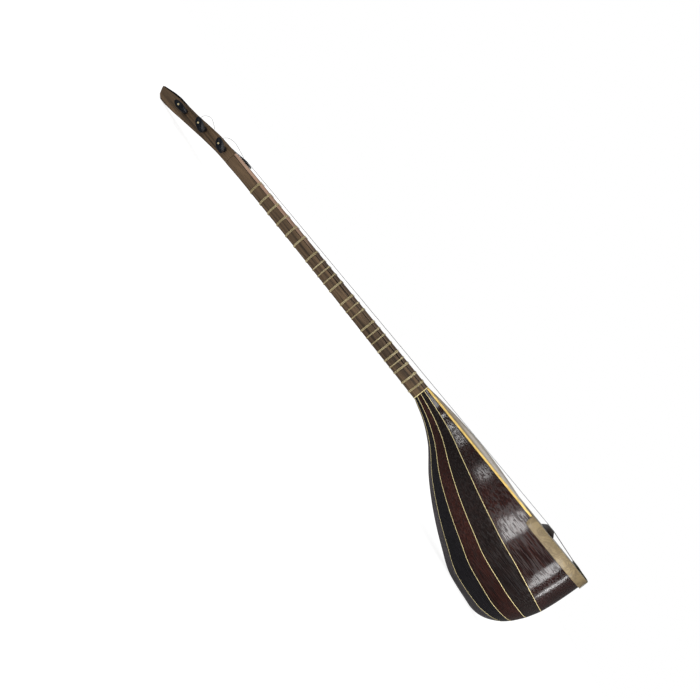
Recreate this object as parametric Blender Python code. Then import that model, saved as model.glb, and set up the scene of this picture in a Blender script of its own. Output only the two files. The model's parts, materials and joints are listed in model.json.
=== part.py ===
"""A shurangiz, a long-necked lute with a face of wood and skin, in metres.

The instrument is drawn along X with its head towards -X, its face towards +Z and its bass side
towards -Y. The neck meets the body at x = 0, and the front of the fingerboard is the plane z = 0.
The whole then leans on its bowl and the back of its head, as it lies on a table.
"""

import math

import bmesh
import bpy
from mathutils import Matrix, Vector

MM = 0.001

# Fits between pieces
SEAT = 0.3 * MM
RIB_JOINT = 0.3 * MM

# Strings
SCALE_LENGTH = 650 * MM
STRING_DIAMETER = 0.5 * MM
STRING_TURNS = 3
STRING_TURN_PITCH = 0.95 * MM
COURSE_SPACING_AT_NUT = 7.0 * MM
COURSE_SPACING_AT_BRIDGE = 13.5 * MM
PAIR_SPACING_AT_NUT = 2.2 * MM
PAIR_SPACING_AT_BRIDGE = 3.0 * MM
COURSES = 3

# Bowl
BODY_LENGTH = 339 * MM
WIDEST_AT = 268 * MM
BODY_HALF_WIDTH = 90 * MM
BODY_DEPTH = 146.6 * MM
RIB_THICKNESS = 3.0 * MM
SPINE_HALF_WIDTH = 12 * MM
SPINE_HALF_WIDTH_AT_NECK = 3.6 * MM
SPINE_FULL_WIDTH_AT = 120 * MM
RIB_STATIONS = 20
RIB_CROWN = 0.5

# Neck
NECK_WIDTH_AT_NUT = 28 * MM
NECK_WIDTH_AT_HEEL = 33 * MM
NECK_DEPTH_AT_NUT = 18 * MM
NECK_DEPTH_AT_HEEL = 25 * MM
NECK_PAST_NUT = 24 * MM
FINGERBOARD_THICKNESS = 4.6 * MM
NECK_EDGE = 0.7 * MM
NUT_LENGTH = 17.6 * MM
NUT_HEIGHT = 2.6 * MM
NUT_INSET = 0.8 * MM

# Head
HEAD_WIDTH = 29 * MM
HEAD_FULL_WIDTH_AT = 45 * MM
HEAD_CHAMFER = 3.2 * MM
PEGBOX_HALF_WIDTH = 7.8 * MM
PEGBOX_FLOOR = 4.5 * MM
PEGBOX_END = 118 * MM
CAP_THICKNESS = 2.2 * MM

# Pegs
PEG_SHAFT_RADIUS = 3.2 * MM
PEG_HOLE_CLEARANCE = 0.3 * MM
PEG_SEAT_DEPTH = 4.5 * MM
PEG_REACH = 46 * MM
PEG_HEAD_HALF_WIDTH = 10.5 * MM
PEG_HEAD_THICKNESS = 7.2 * MM
PEG_PLACES = [113 * MM, 77 * MM, 38.5 * MM]
PEG_STAGGER = 8.5 * MM
PEG_TURNS_SET = {"bass": [0, 31, 36], "treble": [6, -8, 4]}

# Frets
FRET_GUT = 0.55 * MM
FRET_PITCH = 1.0 * MM
FRET_CENTS = [80, 138, 189, 250, 312, 371, 461, 515, 556, 604, 656, 752, 805, 855, 951,
              1008, 1063, 1133, 1212, 1274, 1330, 1432, 1527]
THIN_FRETS = [8, 9, 10, 13, 14, 16, 17, 20]
TURNS_OF_THICK_FRET = 3
TURNS_OF_THIN_FRET = 2

# Face
WOOD_LENGTH = 210 * MM
WOOD_THICKNESS = 2.8 * MM
WOOD_ARCH = 4.2 * MM
BINDING_THICKNESS = 1.6 * MM
SKIN_THICKNESS = 0.8 * MM
SKIN_FOLD = 13 * MM
SKIN_STATIONS = 26
CROSSBAR_DEPTH = 12 * MM
CROSSBAR_WIDTH = 14 * MM
SOUND_HOLE_RADIUS = 1.5 * MM
SOUND_HOLE_SPACING = 9 * MM
SOUND_HOLES_AT = 120 * MM
FACE_STATIONS = 14

# Bridge and string holder
BRIDGE_AT = 257 * MM
BRIDGE_HEIGHT = 7.0 * MM
BRIDGE_FOOT_LENGTH = 60 * MM
BRIDGE_FOOT_WIDTH = 11.5 * MM
BRIDGE_TOP_LENGTH = 44 * MM
BRIDGE_TOP_WIDTH = 3.6 * MM
HOLDER_HALF_WIDTH = 20 * MM
HOLDER_LENGTH = 24 * MM
HOLDER_HEIGHT = 2.8 * MM
HOLDER_LIP = 13.5 * MM
HOLDER_THICKNESS = 1.8 * MM

# Blocks inside the bowl
NECK_BLOCK_LENGTH = 42 * MM
TAIL_BLOCK_THICKNESS = 20 * MM
TAIL_BLOCK_HALF_WIDTH = 30 * MM
TAIL_BLOCK_DEPTH = 62 * MM
TAIL_BLOCK_HOLLOW = 3.6 * MM

# Shape of the bowl: how far along to its widest place, and the share of the way from the heel of
# the neck to the full half width or the full depth
PLAN_SWELL = [(0.0, 0.0), (0.11, 0.06), (0.22, 0.22), (0.37, 0.48), (0.52, 0.70),
              (0.67, 0.865), (0.82, 0.96), (1.0, 1.0)]
DEPTH_SWELL = [(0.0, 0.0), (0.11, 0.08), (0.22, 0.205), (0.37, 0.46), (0.52, 0.66),
               (0.67, 0.82), (0.82, 0.95), (1.0, 1.0)]
PLAN_POWER = 2.0
DEPTH_POWER = 2.6
TAIL_POWER = 2.2

# Joints between the ribs of one side, seen from the side: how far along to the widest place, and
# the share of the depth there
RIB_JOINTS = [
    [(0.0, 0.29), (0.2, 0.33), (0.6, 0.32), (0.9, 0.38), (1.0, 0.412), (1.09, 0.448), (1.26, 0.515)],
    [(0.0, 0.53), (0.2, 0.50), (0.5, 0.53), (0.9, 0.59), (1.0, 0.616), (1.1, 0.632), (1.26, 0.648)],
    [(0.0, 0.77), (0.25, 0.772), (0.65, 0.755), (0.9, 0.765), (1.0, 0.785), (1.1, 0.79), (1.26, 0.74)],
    [(0.0, 0.94), (0.25, 0.92), (0.55, 0.908), (0.85, 0.905), (1.0, 0.905), (1.09, 0.876), (1.26, 0.76)],
]

# Side outline of the head: distance past the nut, height of its front edge, height of its back
HEAD_OUTLINE = [
    (24, -1.0, -20.9), (34, -1.2, -21.0), (45, -1.6, -21.3), (57, -2.2, -22.6), (76, -4.9, -24.9),
    (99, -8.5, -28.4), (118, -10.3, -31.2), (131, -10.8, -33.4), (142, -13.0, -34.6),
    (150, -15.5, -34.5), (156, -17.4, -30.6), (160, -18.8, -23.0),
]
CAP_OUTLINE = [(118.6, 0.3), (124, 0.75), (131, 1.0), (142, 0.95), (150, 0.7), (158.5, 0.3)]
PEG_AXIS_HEIGHTS = [(30.0, -9.5), (38.5, -10.3), (77.0, -13.8), (113.0, -18.7)]
NUT_OUTLINE = [(1.0, 0.12), (0.9, 0.36), (0.62, 0.78), (0.34, 1.0), (0.12, 0.96), (0.0, 0.72)]

# Worked out from the sizes above
NUT_AT = BRIDGE_AT - SCALE_LENGTH
TAIL_LENGTH = BODY_LENGTH - WIDEST_AT
SKIN_TOP = SEAT + SKIN_THICKNESS
FACE_EDGE_BELOW = WOOD_THICKNESS + SEAT


def colour(red, green, blue):
    """Screen values of 0 to 255 as the linear values that a material takes."""
    def linear(value):
        share = value / 255
        return share / 12.92 if share <= 0.04045 else ((share + 0.055) / 1.055) ** 2.4
    return (linear(red), linear(green), linear(blue), 1.0)


FINISHES = {
    "walnut": (colour(96, 74, 56), 0.45, 0.0),
    "walnut_head": (colour(104, 80, 64), 0.45, 0.0),
    "facing": (colour(150, 118, 96), 0.45, 0.0),
    "ebony": (colour(18, 18, 20), 0.3, 0.0),
    "rib_red": (colour(58, 32, 28), 0.2, 0.0),
    "rib_dark": (colour(38, 30, 30), 0.2, 0.0),
    "binding": (colour(220, 190, 100), 0.4, 0.0),
    "soundboard": (colour(206, 176, 128), 0.5, 0.0),
    "skin": (colour(146, 128, 90), 0.55, 0.0),
    "gut": (colour(172, 156, 116), 0.5, 0.0),
    "steel": (colour(170, 172, 176), 0.25, 1.0),
    "bridge": (colour(62, 50, 44), 0.45, 0.0),
    "horn": (colour(84, 80, 62), 0.4, 0.0),
    "spruce": (colour(196, 170, 126), 0.6, 0.0),
}


def clear_scene():
    for item in list(bpy.data.objects):
        bpy.data.objects.remove(item, do_unlink=True)


def new_collection(name):
    made = bpy.data.collections.new(name)
    bpy.context.scene.collection.children.link(made)
    return made


def finish(piece, name, finish_name):
    """Give a piece its own material."""
    base, roughness, metallic = FINISHES[finish_name]
    material = bpy.data.materials.new(name)
    material.use_nodes = True
    shader = material.node_tree.nodes["Principled BSDF"]
    shader.inputs["Base Color"].default_value = base
    shader.inputs["Roughness"].default_value = roughness
    shader.inputs["Metallic"].default_value = metallic
    material.diffuse_color = base
    piece.data.materials.append(material)


def place(piece, location=(0, 0, 0)):
    """Put a piece on the instrument, which leans as a whole."""
    piece.parent = instrument
    piece.location = location


def mesh_piece(name, mesh_builder, finish_name, location=(0, 0, 0), smooth_angle=35):
    mesh = bpy.data.meshes.new(name)
    bmesh.ops.recalc_face_normals(mesh_builder, faces=mesh_builder.faces)
    mesh_builder.to_mesh(mesh)
    mesh_builder.free()
    piece = bpy.data.objects.new(name, mesh)
    parts.objects.link(piece)
    mesh.shade_smooth()
    mesh.set_sharp_from_angle(angle=math.radians(smooth_angle))
    finish(piece, name, finish_name)
    place(piece, location)
    return piece


def loft(rings):
    """Closed rings of equal count joined by quads, with a face at each end."""
    made = bmesh.new()
    rows = [[made.verts.new(point) for point in ring] for ring in rings]
    count = len(rows[0])
    for row, following in zip(rows, rows[1:]):
        for i in range(count):
            j = (i + 1) % count
            made.faces.new((row[i], row[j], following[j], following[i]))
    made.faces.new(list(reversed(rows[0])))
    made.faces.new(rows[-1])
    return made


def cutter_from(name, mesh_builder):
    mesh = bpy.data.meshes.new(name)
    bmesh.ops.recalc_face_normals(mesh_builder, faces=mesh_builder.faces)
    mesh_builder.to_mesh(mesh)
    mesh_builder.free()
    cutter = bpy.data.objects.new(name, mesh)
    cutters.objects.link(cutter)
    cutter.hide_render = True
    cutter.display_type = "WIRE"
    place(cutter)
    return cutter


def cut(piece, cutter):
    modifier = piece.modifiers.new("cut " + cutter.name, "BOOLEAN")
    modifier.operation = "DIFFERENCE"
    modifier.solver = "EXACT"
    modifier.object = cutter


def smooth(points, at):
    """The value at a place on a curve through (place, value) points that never overshoots them."""
    places = [p[0] for p in points]
    values = [p[1] for p in points]
    if at <= places[0]:
        return values[0]
    if at >= places[-1]:
        return values[-1]
    steps = [b - a for a, b in zip(places, places[1:])]
    slopes = [(b - a) / step for a, b, step in zip(values, values[1:], steps)]
    tangents = [slopes[0]]
    for i in range(1, len(slopes)):
        before, after = slopes[i - 1], slopes[i]
        tangents.append(0.0 if before * after <= 0 else 2 * before * after / (before + after))
    tangents.append(slopes[-1])
    i = max(k for k in range(len(steps)) if places[k] <= at)
    t = (at - places[i]) / steps[i]
    rise = values[i] * (1 + 2 * t) * (1 - t) ** 2 + values[i + 1] * t * t * (3 - 2 * t)
    lean = tangents[i] * t * (1 - t) ** 2 + tangents[i + 1] * t * t * (t - 1)
    return rise + lean * steps[i]


def between(points, at):
    """Straight-line value at a place among (place, value) points, level past the ends."""
    if at <= points[0][0]:
        return points[0][1]
    for (x0, v0), (x1, v1) in zip(points, points[1:]):
        if at <= x1:
            return v0 + (v1 - v0) * (at - x0) / (x1 - x0)
    return points[-1][1]


def even_points(points, shares):
    """Points at the given shares of the length of a fine line of points."""
    lengths = [0.0]
    for a, b in zip(points, points[1:]):
        lengths.append(lengths[-1] + (b - a).length)
    picked = []
    k = 0
    for share in shares:
        goal = min(share, 1.0) * lengths[-1]
        while k < len(points) - 2 and lengths[k + 1] < goal:
            k += 1
        span = lengths[k + 1] - lengths[k]
        t = (goal - lengths[k]) / span if span > 0 else 0.0
        picked.append(points[k].lerp(points[k + 1], min(max(t, 0.0), 1.0)))
    return picked


# The bowl's outer surface

def half_width(x):
    """Half the width of the body's outline at a place before its widest."""
    heel = NECK_WIDTH_AT_HEEL / 2
    return heel + (BODY_HALF_WIDTH - heel) * smooth(PLAN_SWELL, x / WIDEST_AT)


def depth(x):
    heel = NECK_DEPTH_AT_HEEL
    return heel + (BODY_DEPTH - heel) * smooth(DEPTH_SWELL, x / WIDEST_AT)


def tail_share(x):
    return max(0.0, (x - WIDEST_AT) / TAIL_LENGTH) ** TAIL_POWER


def surface_value(point):
    """Zero on the bowl's outer surface, and above zero outside it."""
    x, y, z = point
    across = (abs(y) / half_width(min(x, WIDEST_AT))) ** PLAN_POWER
    down = (max(-z, 0.0) / depth(min(x, WIDEST_AT))) ** DEPTH_POWER
    return tail_share(x) + across + down - 1


def outward(point):
    """Unit vector square to the bowl's surface."""
    step = 0.05 * MM
    slope = Vector((
        surface_value(point + Vector((step, 0, 0))) - surface_value(point - Vector((step, 0, 0))),
        surface_value(point + Vector((0, step, 0))) - surface_value(point - Vector((0, step, 0))),
        surface_value(point + Vector((0, 0, step))) - surface_value(point - Vector((0, 0, step))),
    ))
    return slope.normalized()


def side_y(x, z):
    """How far out the bowl reaches at this place and height, or zero past its surface."""
    left = 1 - tail_share(x) - (max(-z, 0.0) / depth(min(x, WIDEST_AT))) ** DEPTH_POWER
    return half_width(min(x, WIDEST_AT)) * max(left, 0.0) ** (1 / PLAN_POWER)


def spine_half_width(x):
    t = min(x / SPINE_FULL_WIDTH_AT, 1.0)
    widen = t * t * (3 - 2 * t)
    return SPINE_HALF_WIDTH_AT_NECK + (SPINE_HALF_WIDTH - SPINE_HALF_WIDTH_AT_NECK) * widen


def bass_line(height_at, fine=240):
    """A fine line on the bass side of the bowl, from the neck back to the spine's edge."""
    low, high = WIDEST_AT, BODY_LENGTH
    for _ in range(50):
        middle = (low + high) / 2
        if side_y(middle, height_at(middle)) > SPINE_HALF_WIDTH + RIB_JOINT / 2:
            low = middle
        else:
            high = middle
    points = []
    for i in range(fine + 1):
        x = low * math.sin(i / fine * math.pi / 2)
        z = height_at(x)
        points.append(Vector((x, -side_y(x, z), z)))
    return points


def joint_height(shares):
    """Height of a joint between ribs along the bowl."""
    def height_at(x):
        local = depth(min(x, WIDEST_AT))
        return -smooth(shares, x / WIDEST_AT) * local
    return height_at


def rim_height(x):
    """Top of the ribs: below the wooden face, and level with the front under the skin."""
    return -FACE_EDGE_BELOW if x < WOOD_LENGTH - SEAT / 2 else 0.0


def spine_line(fine=300):
    """A fine line along the bass edge of the spine, from the neck round the tail to the rim."""
    points = []
    for i in range(fine):
        x = WIDEST_AT * i / fine
        wide = spine_half_width(x)
        left = 1 - (wide / half_width(x)) ** PLAN_POWER
        points.append(Vector((x, -wide, -depth(x) * left ** (1 / DEPTH_POWER))))
    left = 1 - (SPINE_HALF_WIDTH / BODY_HALF_WIDTH) ** PLAN_POWER
    for i in range(fine + 1):
        turn = i / fine * math.pi / 2
        x = WIDEST_AT + TAIL_LENGTH * (left * math.sin(turn) ** 2) ** (1 / TAIL_POWER)
        z = -BODY_DEPTH * (left * max(math.cos(turn), 0.0) ** 2) ** (1 / DEPTH_POWER)
        points.append(Vector((x, -SPINE_HALF_WIDTH, z)))
    return points


def inward(point, thickness, keep_y):
    """The matching point on the inside of a wall."""
    square = outward(point)
    if keep_y:
        square = Vector((square.x, 0.0, square.z)).normalized()
    return point - square * thickness


def towards_surface(point):
    """The point pushed out part of the way to the bowl's surface, for a slightly bent board."""
    square = outward(point)
    step = 0.1 * MM
    rate = (surface_value(point + square * step) - surface_value(point)) / step
    gap = -surface_value(point) / rate
    return point + square * gap * RIB_CROWN


def mirrored(rings, side):
    """Rings drawn on the bass side, or their mirror image for the treble side."""
    if side == "bass":
        return rings
    return [[Vector((p.x, -p.y, p.z)) for p in ring] for ring in rings]


def rib_rings(upper, lower, upper_keeps_y, lower_keeps_y):
    rings = []
    last = len(upper) - 1
    for i, (a, b) in enumerate(zip(upper, lower)):
        over = (b - a).normalized()
        above = a + over * RIB_JOINT / 2
        below = b - over * RIB_JOINT / 2
        crown = towards_surface((above + below) / 2)
        at_spine = i == last
        rings.append([
            above, crown, below,
            inward(below, RIB_THICKNESS, lower_keeps_y or at_spine),
            inward(crown, RIB_THICKNESS, at_spine),
            inward(above, RIB_THICKNESS, upper_keeps_y or at_spine),
        ])
    return rings


def make_ribs():
    """Five bent ribs on each side, from the joint at the rim down to the spine."""
    start = RIB_JOINT / 2
    shares = [i / RIB_STATIONS for i in range(RIB_STATIONS + 1)]
    rim_fine = bass_line(rim_height)
    lengths = [0.0]
    for a, b in zip(rim_fine, rim_fine[1:]):
        lengths.append(lengths[-1] + (b - a).length)
    edge = [k for k, p in enumerate(rim_fine) if p.x < WOOD_LENGTH - SEAT / 2][-1]
    rim_shares = sorted(shares + [lengths[edge] / lengths[-1], lengths[edge + 1] / lengths[-1]])
    lines = [rim_fine] + [bass_line(joint_height(joint)) for joint in RIB_JOINTS]
    lowest_joint_end = lines[-1][-1].x
    spine_side = [p - Vector((0, RIB_JOINT / 2, 0)) for p in spine_line()]
    lines.append([p for p in spine_side if p.x < lowest_joint_end - SPINE_HALF_WIDTH / 3])
    for number in range(1, len(lines)):
        picked = rim_shares if number == 1 else shares
        upper = even_points(lines[number - 1], picked)
        lower = even_points(lines[number], picked)
        for row in (upper, lower):
            row[0] = row[0] + Vector((start, 0, 0))
        at_rim = number == 1
        at_spine = number == len(lines) - 1
        rings = rib_rings(upper, lower, at_rim, at_spine)
        if at_rim:
            for ring in rings:
                for k in (0, 5):
                    ring[k].z = min(ring[k].z, rim_height(ring[0].x))
        for side in ("bass", "treble"):
            wood = "rib_red" if number % 2 else "rib_dark"
            mesh_piece("rib_%s_%d" % (side, number), loft(mirrored(rings, side)), wood)


def make_spine():
    """The narrow middle rib, from the neck along the bottom and up the tail to the rim."""
    count = int(RIB_STATIONS * 1.6)
    edge = even_points(spine_line(), [i / count for i in range(count + 1)])
    edge[0] = edge[0] + Vector((RIB_JOINT / 2, 0, 0))
    rings = []
    for point in edge:
        outer = Vector((point.x, point.y + RIB_JOINT / 2, point.z))
        inner = inward(outer, RIB_THICKNESS, True)
        rings.append([
            outer, inner,
            Vector((inner.x, -inner.y, inner.z)), Vector((outer.x, -outer.y, outer.z)),
        ])
    return mesh_piece("rib_middle", loft(rings), "rib_dark")


# The neck and the head

def neck_width(x):
    return between([(NUT_AT, NECK_WIDTH_AT_NUT), (0.0, NECK_WIDTH_AT_HEEL)], x)


def neck_depth(x):
    return between([(NUT_AT, NECK_DEPTH_AT_NUT), (0.0, NECK_DEPTH_AT_HEEL)], x)


def stick_ring(x, width, front, straight, back, boxed, spread=0.0):
    """Twelve points round the neck or head: flat front, straight sides, round or boxed back.

    Spread moves every point outwards by about that much, for what is wound round the neck.
    """
    half = width / 2
    round_back = []
    for k in range(1, 7):
        turn = math.pi * k / 7
        across = math.copysign(abs(math.cos(turn)) ** 0.8, math.cos(turn))
        round_back.append((half * across, straight - (straight - back) * math.sin(turn) ** 0.8))
    corner = HEAD_CHAMFER
    box_back = [
        (half, back + corner), (half - corner / 2, back + corner / 2), (half - corner, back),
        (corner - half, back), (corner / 2 - half, back + corner / 2), (-half, back + corner),
    ]
    low = [
        (r[0] + (b[0] - r[0]) * boxed, r[1] + (b[1] - r[1]) * boxed)
        for r, b in zip(round_back, box_back)
    ]
    ring = [(half - NECK_EDGE, front), (half, front - NECK_EDGE), (half, straight)] + low
    ring += [(-half, straight), (-half, front - NECK_EDGE), (NECK_EDGE - half, front)]
    if spread:
        middle = (front + back) / 2
        ring = [spread_point(ring, i, middle, spread) for i in range(len(ring))]
    return [Vector((x, y, z)) for y, z in ring]


def spread_point(ring, i, middle, spread):
    """One corner of a ring moved out so that both sides that meet there move out by spread."""
    before = Vector(ring[i]) - Vector(ring[i - 1])
    after = Vector(ring[(i + 1) % len(ring)]) - Vector(ring[i])
    out_before = Vector((before.y, -before.x)).normalized()
    out_after = Vector((after.y, -after.x)).normalized()
    corner = Vector(ring[i])
    if out_before.dot(corner - Vector((0, middle))) < 0:
        out_before = -out_before
        out_after = -out_after
    both = out_before + out_after
    moved = corner + both * (spread / max(both.length_squared / 2, 0.5))
    return (moved.x, moved.y)


def neck_ring(x, spread=0.0):
    front = between([(NUT_AT - NECK_PAST_NUT, HEAD_OUTLINE[0][1] * MM), (NUT_AT - NUT_LENGTH, 0.0)], x)
    return stick_ring(x, neck_width(x), front, -FINGERBOARD_THICKNESS - SEAT, -neck_depth(x), 0.0, spread)


def ramp_cutter():
    """The slope behind the nut, which lets the strings down into the pegbox."""
    top = NUT_AT - NUT_LENGTH - 1.0 * MM
    foot = NUT_AT - NECK_PAST_NUT
    steep = 7.0 * MM
    past = 3 * MM
    outline = [
        (top, -1.2 * MM), (foot, -1.2 * MM - steep), (foot - past, -1.2 * MM - steep),
        (foot - past, past), (top, past),
    ]
    rings = [[Vector((x, y, z)) for x, z in outline] for y in (-PEGBOX_HALF_WIDTH, PEGBOX_HALF_WIDTH)]
    return cutter_from("ramp_cutter", loft(rings))


def make_neck(ramp):
    places = [NUT_AT - NECK_PAST_NUT, NUT_AT - NUT_LENGTH, NUT_AT, -SEAT]
    board_rings = []
    shaft_rings = []
    for x in places:
        ring = neck_ring(x)
        half = neck_width(x) / 2
        under = -FINGERBOARD_THICKNESS
        board_rings.append([
            Vector((x, half, under)), ring[1], ring[0], ring[11], ring[10], Vector((x, -half, under)),
        ])
        shaft_rings.append(ring[2:10])
    board = mesh_piece("fingerboard", loft(board_rings), "facing")
    shaft = mesh_piece("neck_shaft", loft(shaft_rings), "walnut")
    cut(board, ramp)
    cut(shaft, ramp)


def head_point(past_nut):
    """Front and back heights of the head at a distance past the nut."""
    front = smooth([(p[0] * MM, p[1] * MM) for p in HEAD_OUTLINE], past_nut)
    back = smooth([(p[0] * MM, p[2] * MM) for p in HEAD_OUTLINE], past_nut)
    return front, back


def cap_height(past_nut):
    """Thickness of the black cap, which thins out at both its ends."""
    return CAP_THICKNESS * between([(p[0] * MM, p[1]) for p in CAP_OUTLINE], past_nut)


def cap_bottom(past_nut):
    """Height of the underside of the cap, straight from each of its outline's points to the next."""
    points = []
    for past, _ in CAP_OUTLINE:
        at = past * MM
        points.append((at, head_point(at)[0] - cap_height(at)))
    return between(points, past_nut)


def make_head():
    first = HEAD_OUTLINE[0][0] * MM
    step = CAP_OUTLINE[0][0] * MM - SEAT
    places = [p[0] * MM for p in HEAD_OUTLINE] + [step - SEAT, step]
    places += [p[0] * MM for p in CAP_OUTLINE[1:-1]]
    rings = []
    for past_nut in sorted(set(places)):
        front, back = head_point(past_nut)
        if past_nut >= step:
            front = cap_bottom(past_nut) - SEAT
        boxed = min((past_nut - first) / (HEAD_FULL_WIDTH_AT - first), 1.0)
        width = NECK_WIDTH_AT_NUT + (HEAD_WIDTH - NECK_WIDTH_AT_NUT) * boxed
        straight = front - min(FINGERBOARD_THICKNESS + SEAT, (front - back) / 3)
        x = NUT_AT - past_nut
        if past_nut == first:
            x -= SEAT
        rings.append(stick_ring(x, width, front, straight, back, boxed))
    head = mesh_piece("head", loft(rings), "walnut_head")
    cut(head, slot_cutter())
    for side in ("bass", "treble"):
        for number in range(3):
            cut(head, peg_hole_cutter(side, number))
    return head


def slot_cutter():
    """The open pegbox: a slot from the front of the head, its floor a little above the back."""
    start = HEAD_OUTLINE[0][0] * MM - 2 * MM
    above = 8 * MM
    places = [start] + [p[0] * MM for p in HEAD_OUTLINE[1:6]] + [PEGBOX_END]
    rings = []
    for past_nut in places:
        front, back = head_point(past_nut)
        floor = back + PEGBOX_FLOOR
        x = NUT_AT - past_nut
        wide = PEGBOX_HALF_WIDTH
        rings.append([
            Vector((x, -wide, front + above)), Vector((x, wide, front + above)),
            Vector((x, wide, floor)), Vector((x, -wide, floor)),
        ])
    return cutter_from("pegbox_cutter", loft(rings))


def peg_past_nut(side, number):
    return PEG_PLACES[number] - (PEG_STAGGER if side == "treble" else 0.0)


def peg_axis(side, number):
    """Where a peg's axis crosses the middle of the head."""
    past_nut = peg_past_nut(side, number)
    height = between([(p[0] * MM, p[1] * MM) for p in PEG_AXIS_HEIGHTS], past_nut)
    return Vector((NUT_AT - past_nut, 0.0, height))


def peg_side(side):
    return -1 if side == "bass" else 1


def peg_hole_cutter(side, number):
    """A peg's hole: right through its own wall, and part of the way into the other."""
    centre = peg_axis(side, number)
    sign = peg_side(side)
    inner = -sign * (PEGBOX_HALF_WIDTH + PEG_SEAT_DEPTH + SEAT)
    outer = sign * HEAD_WIDTH * 0.7
    made = bmesh.new()
    turned = Matrix.Rotation(math.pi / 2, 4, "X")
    middle = Matrix.Translation(centre + Vector((0, (inner + outer) / 2, 0)))
    bmesh.ops.create_cone(
        made, cap_ends=True, segments=12, radius1=PEG_SHAFT_RADIUS + PEG_HOLE_CLEARANCE,
        radius2=PEG_SHAFT_RADIUS + PEG_HOLE_CLEARANCE, depth=abs(outer - inner), matrix=middle @ turned,
    )
    return cutter_from("peg_hole_%s_%d" % (side, number + 1), made)


def make_cap():
    """The black plate on the front of the head's tip."""
    rings = []
    for past, _ in CAP_OUTLINE:
        past_nut = past * MM
        top = head_point(past_nut)[0]
        bottom = top - cap_height(past_nut)
        half = HEAD_WIDTH / 2 - 0.2 * MM
        x = NUT_AT - past_nut
        edge = min(NECK_EDGE, (top - bottom) / 2)
        rings.append([
            Vector((x, -half, bottom)), Vector((x, half, bottom)), Vector((x, half, top - edge)),
            Vector((x, half - edge, top)), Vector((x, edge - half, top)), Vector((x, -half, top - edge)),
        ])
    return mesh_piece("head_cap", loft(rings), "ebony")


def nut_points():
    """Side outline of the top of the nut, from its pegbox end to the fingerboard."""
    return [(NUT_AT - share * NUT_LENGTH, SEAT + tall * NUT_HEIGHT) for share, tall in NUT_OUTLINE]


def make_nut():
    top = nut_points()
    outline = top + [(top[-1][0], SEAT), (top[0][0], SEAT)]
    half = NECK_WIDTH_AT_NUT / 2 - NUT_INSET
    return extruded_piece("nut", outline, half, "ebony")


def extruded_piece(name, outline, half_length, finish_name):
    """A flat side outline given depth on both sides of the middle."""
    curve = bpy.data.curves.new(name, "CURVE")
    curve.dimensions = "2D"
    curve.fill_mode = "BOTH"
    curve.extrude = half_length
    spline = curve.splines.new("POLY")
    spline.points.add(len(outline) - 1)
    for point, (x, z) in zip(spline.points, outline):
        point.co = (x, z, 0, 1)
    spline.use_cyclic_u = True
    piece = bpy.data.objects.new(name, curve)
    parts.objects.link(piece)
    finish(piece, name, finish_name)
    place(piece)
    piece.rotation_euler = (math.pi / 2, 0, 0)
    return piece


# Pegs

PEG_PROFILE = [
    (0.0, 3.5, 3.5), (0.06, 3.5, 3.5), (0.10, 2.6, 2.6), (0.25, 2.9, 2.8), (0.36, 5.6, 3.0),
    (0.50, 9.3, 3.3), (0.66, 10.5, 3.6), (0.82, 9.0, 3.5), (0.93, 5.4, 2.9), (0.965, 2.6, 2.4),
    (1.0, 1.9, 1.9),
]


def make_peg(side, number):
    """A peg: a round shaft across the pegbox, a collar, and a flat oval head ended by a pip."""
    sign = peg_side(side)
    half_head = HEAD_WIDTH / 2
    widest = max(across for _, across, _ in PEG_PROFILE)
    thickest = 2 * max(through for _, _, through in PEG_PROFILE)
    stations = [(-(PEGBOX_HALF_WIDTH + PEG_SEAT_DEPTH), PEG_SHAFT_RADIUS, PEG_SHAFT_RADIUS)]
    stations.append((half_head + SEAT, PEG_SHAFT_RADIUS, PEG_SHAFT_RADIUS))
    for share, across, through in PEG_PROFILE:
        out = half_head + SEAT + share * PEG_REACH
        across *= PEG_HEAD_HALF_WIDTH / widest
        through *= PEG_HEAD_THICKNESS / thickest
        stations.append((out, across, through))
    rings = []
    for out, across, through in stations:
        ring = []
        for k in range(12):
            turn = 2 * math.pi * k / 12
            ring.append(Vector((across * math.cos(turn), sign * out, through * math.sin(turn))))
        rings.append(ring)
    rings[1] = [p + Vector((0, sign * 0.01 * MM, 0)) for p in rings[1]]
    rings[2] = [p + Vector((0, sign * 0.02 * MM, 0)) for p in rings[2]]
    name = "peg_%s_%d" % (side, number + 1)
    peg = mesh_piece(name, loft(rings), "ebony", peg_axis(side, number))
    peg.rotation_euler = (0, math.radians(PEG_TURNS_SET[side][number]), 0)
    return peg


# Cords: strings and frets

def cord(name, points, diameter, resolution, finish_name, location=(0, 0, 0)):
    curve = bpy.data.curves.new(name, "CURVE")
    curve.dimensions = "3D"
    curve.bevel_depth = diameter / 2
    curve.bevel_resolution = resolution
    curve.use_fill_caps = True
    spline = curve.splines.new("POLY")
    spline.points.add(len(points) - 1)
    for point, at in zip(spline.points, points):
        point.co = (*at, 1)
    piece = bpy.data.objects.new(name, curve)
    parts.objects.link(piece)
    finish(piece, name, finish_name)
    place(piece, location)
    return piece


def least_gap(points, diameter, turn):
    """Least gap between a winding's own turns, measured on its points."""
    nearest = min(
        (a - b).length
        for i, a in enumerate(points)
        for b in points[i + turn // 2 + 1:]
    )
    return nearest - diameter


def over_supports(points):
    """The route of a taut string: only the supports that it presses on stay."""
    route = list(points)
    k = 1
    while k < len(route) - 1:
        a, b, c = route[k - 1], route[k], route[k + 1]
        straight = a.z + (c.z - a.z) * (b.x - a.x) / (c.x - a.x)
        if b.z < straight:
            del route[k]
            k = max(k - 1, 1)
        else:
            k += 1
    return route


def string_places():
    """Sideways place of each string at the nut and at the bridge, from bass to treble."""
    places = []
    for course in range(COURSES):
        centre = course - (COURSES - 1) / 2
        for half in (-0.5, 0.5):
            places.append((
                centre * COURSE_SPACING_AT_NUT + half * PAIR_SPACING_AT_NUT,
                centre * COURSE_SPACING_AT_BRIDGE + half * PAIR_SPACING_AT_BRIDGE,
            ))
    return places


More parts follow.
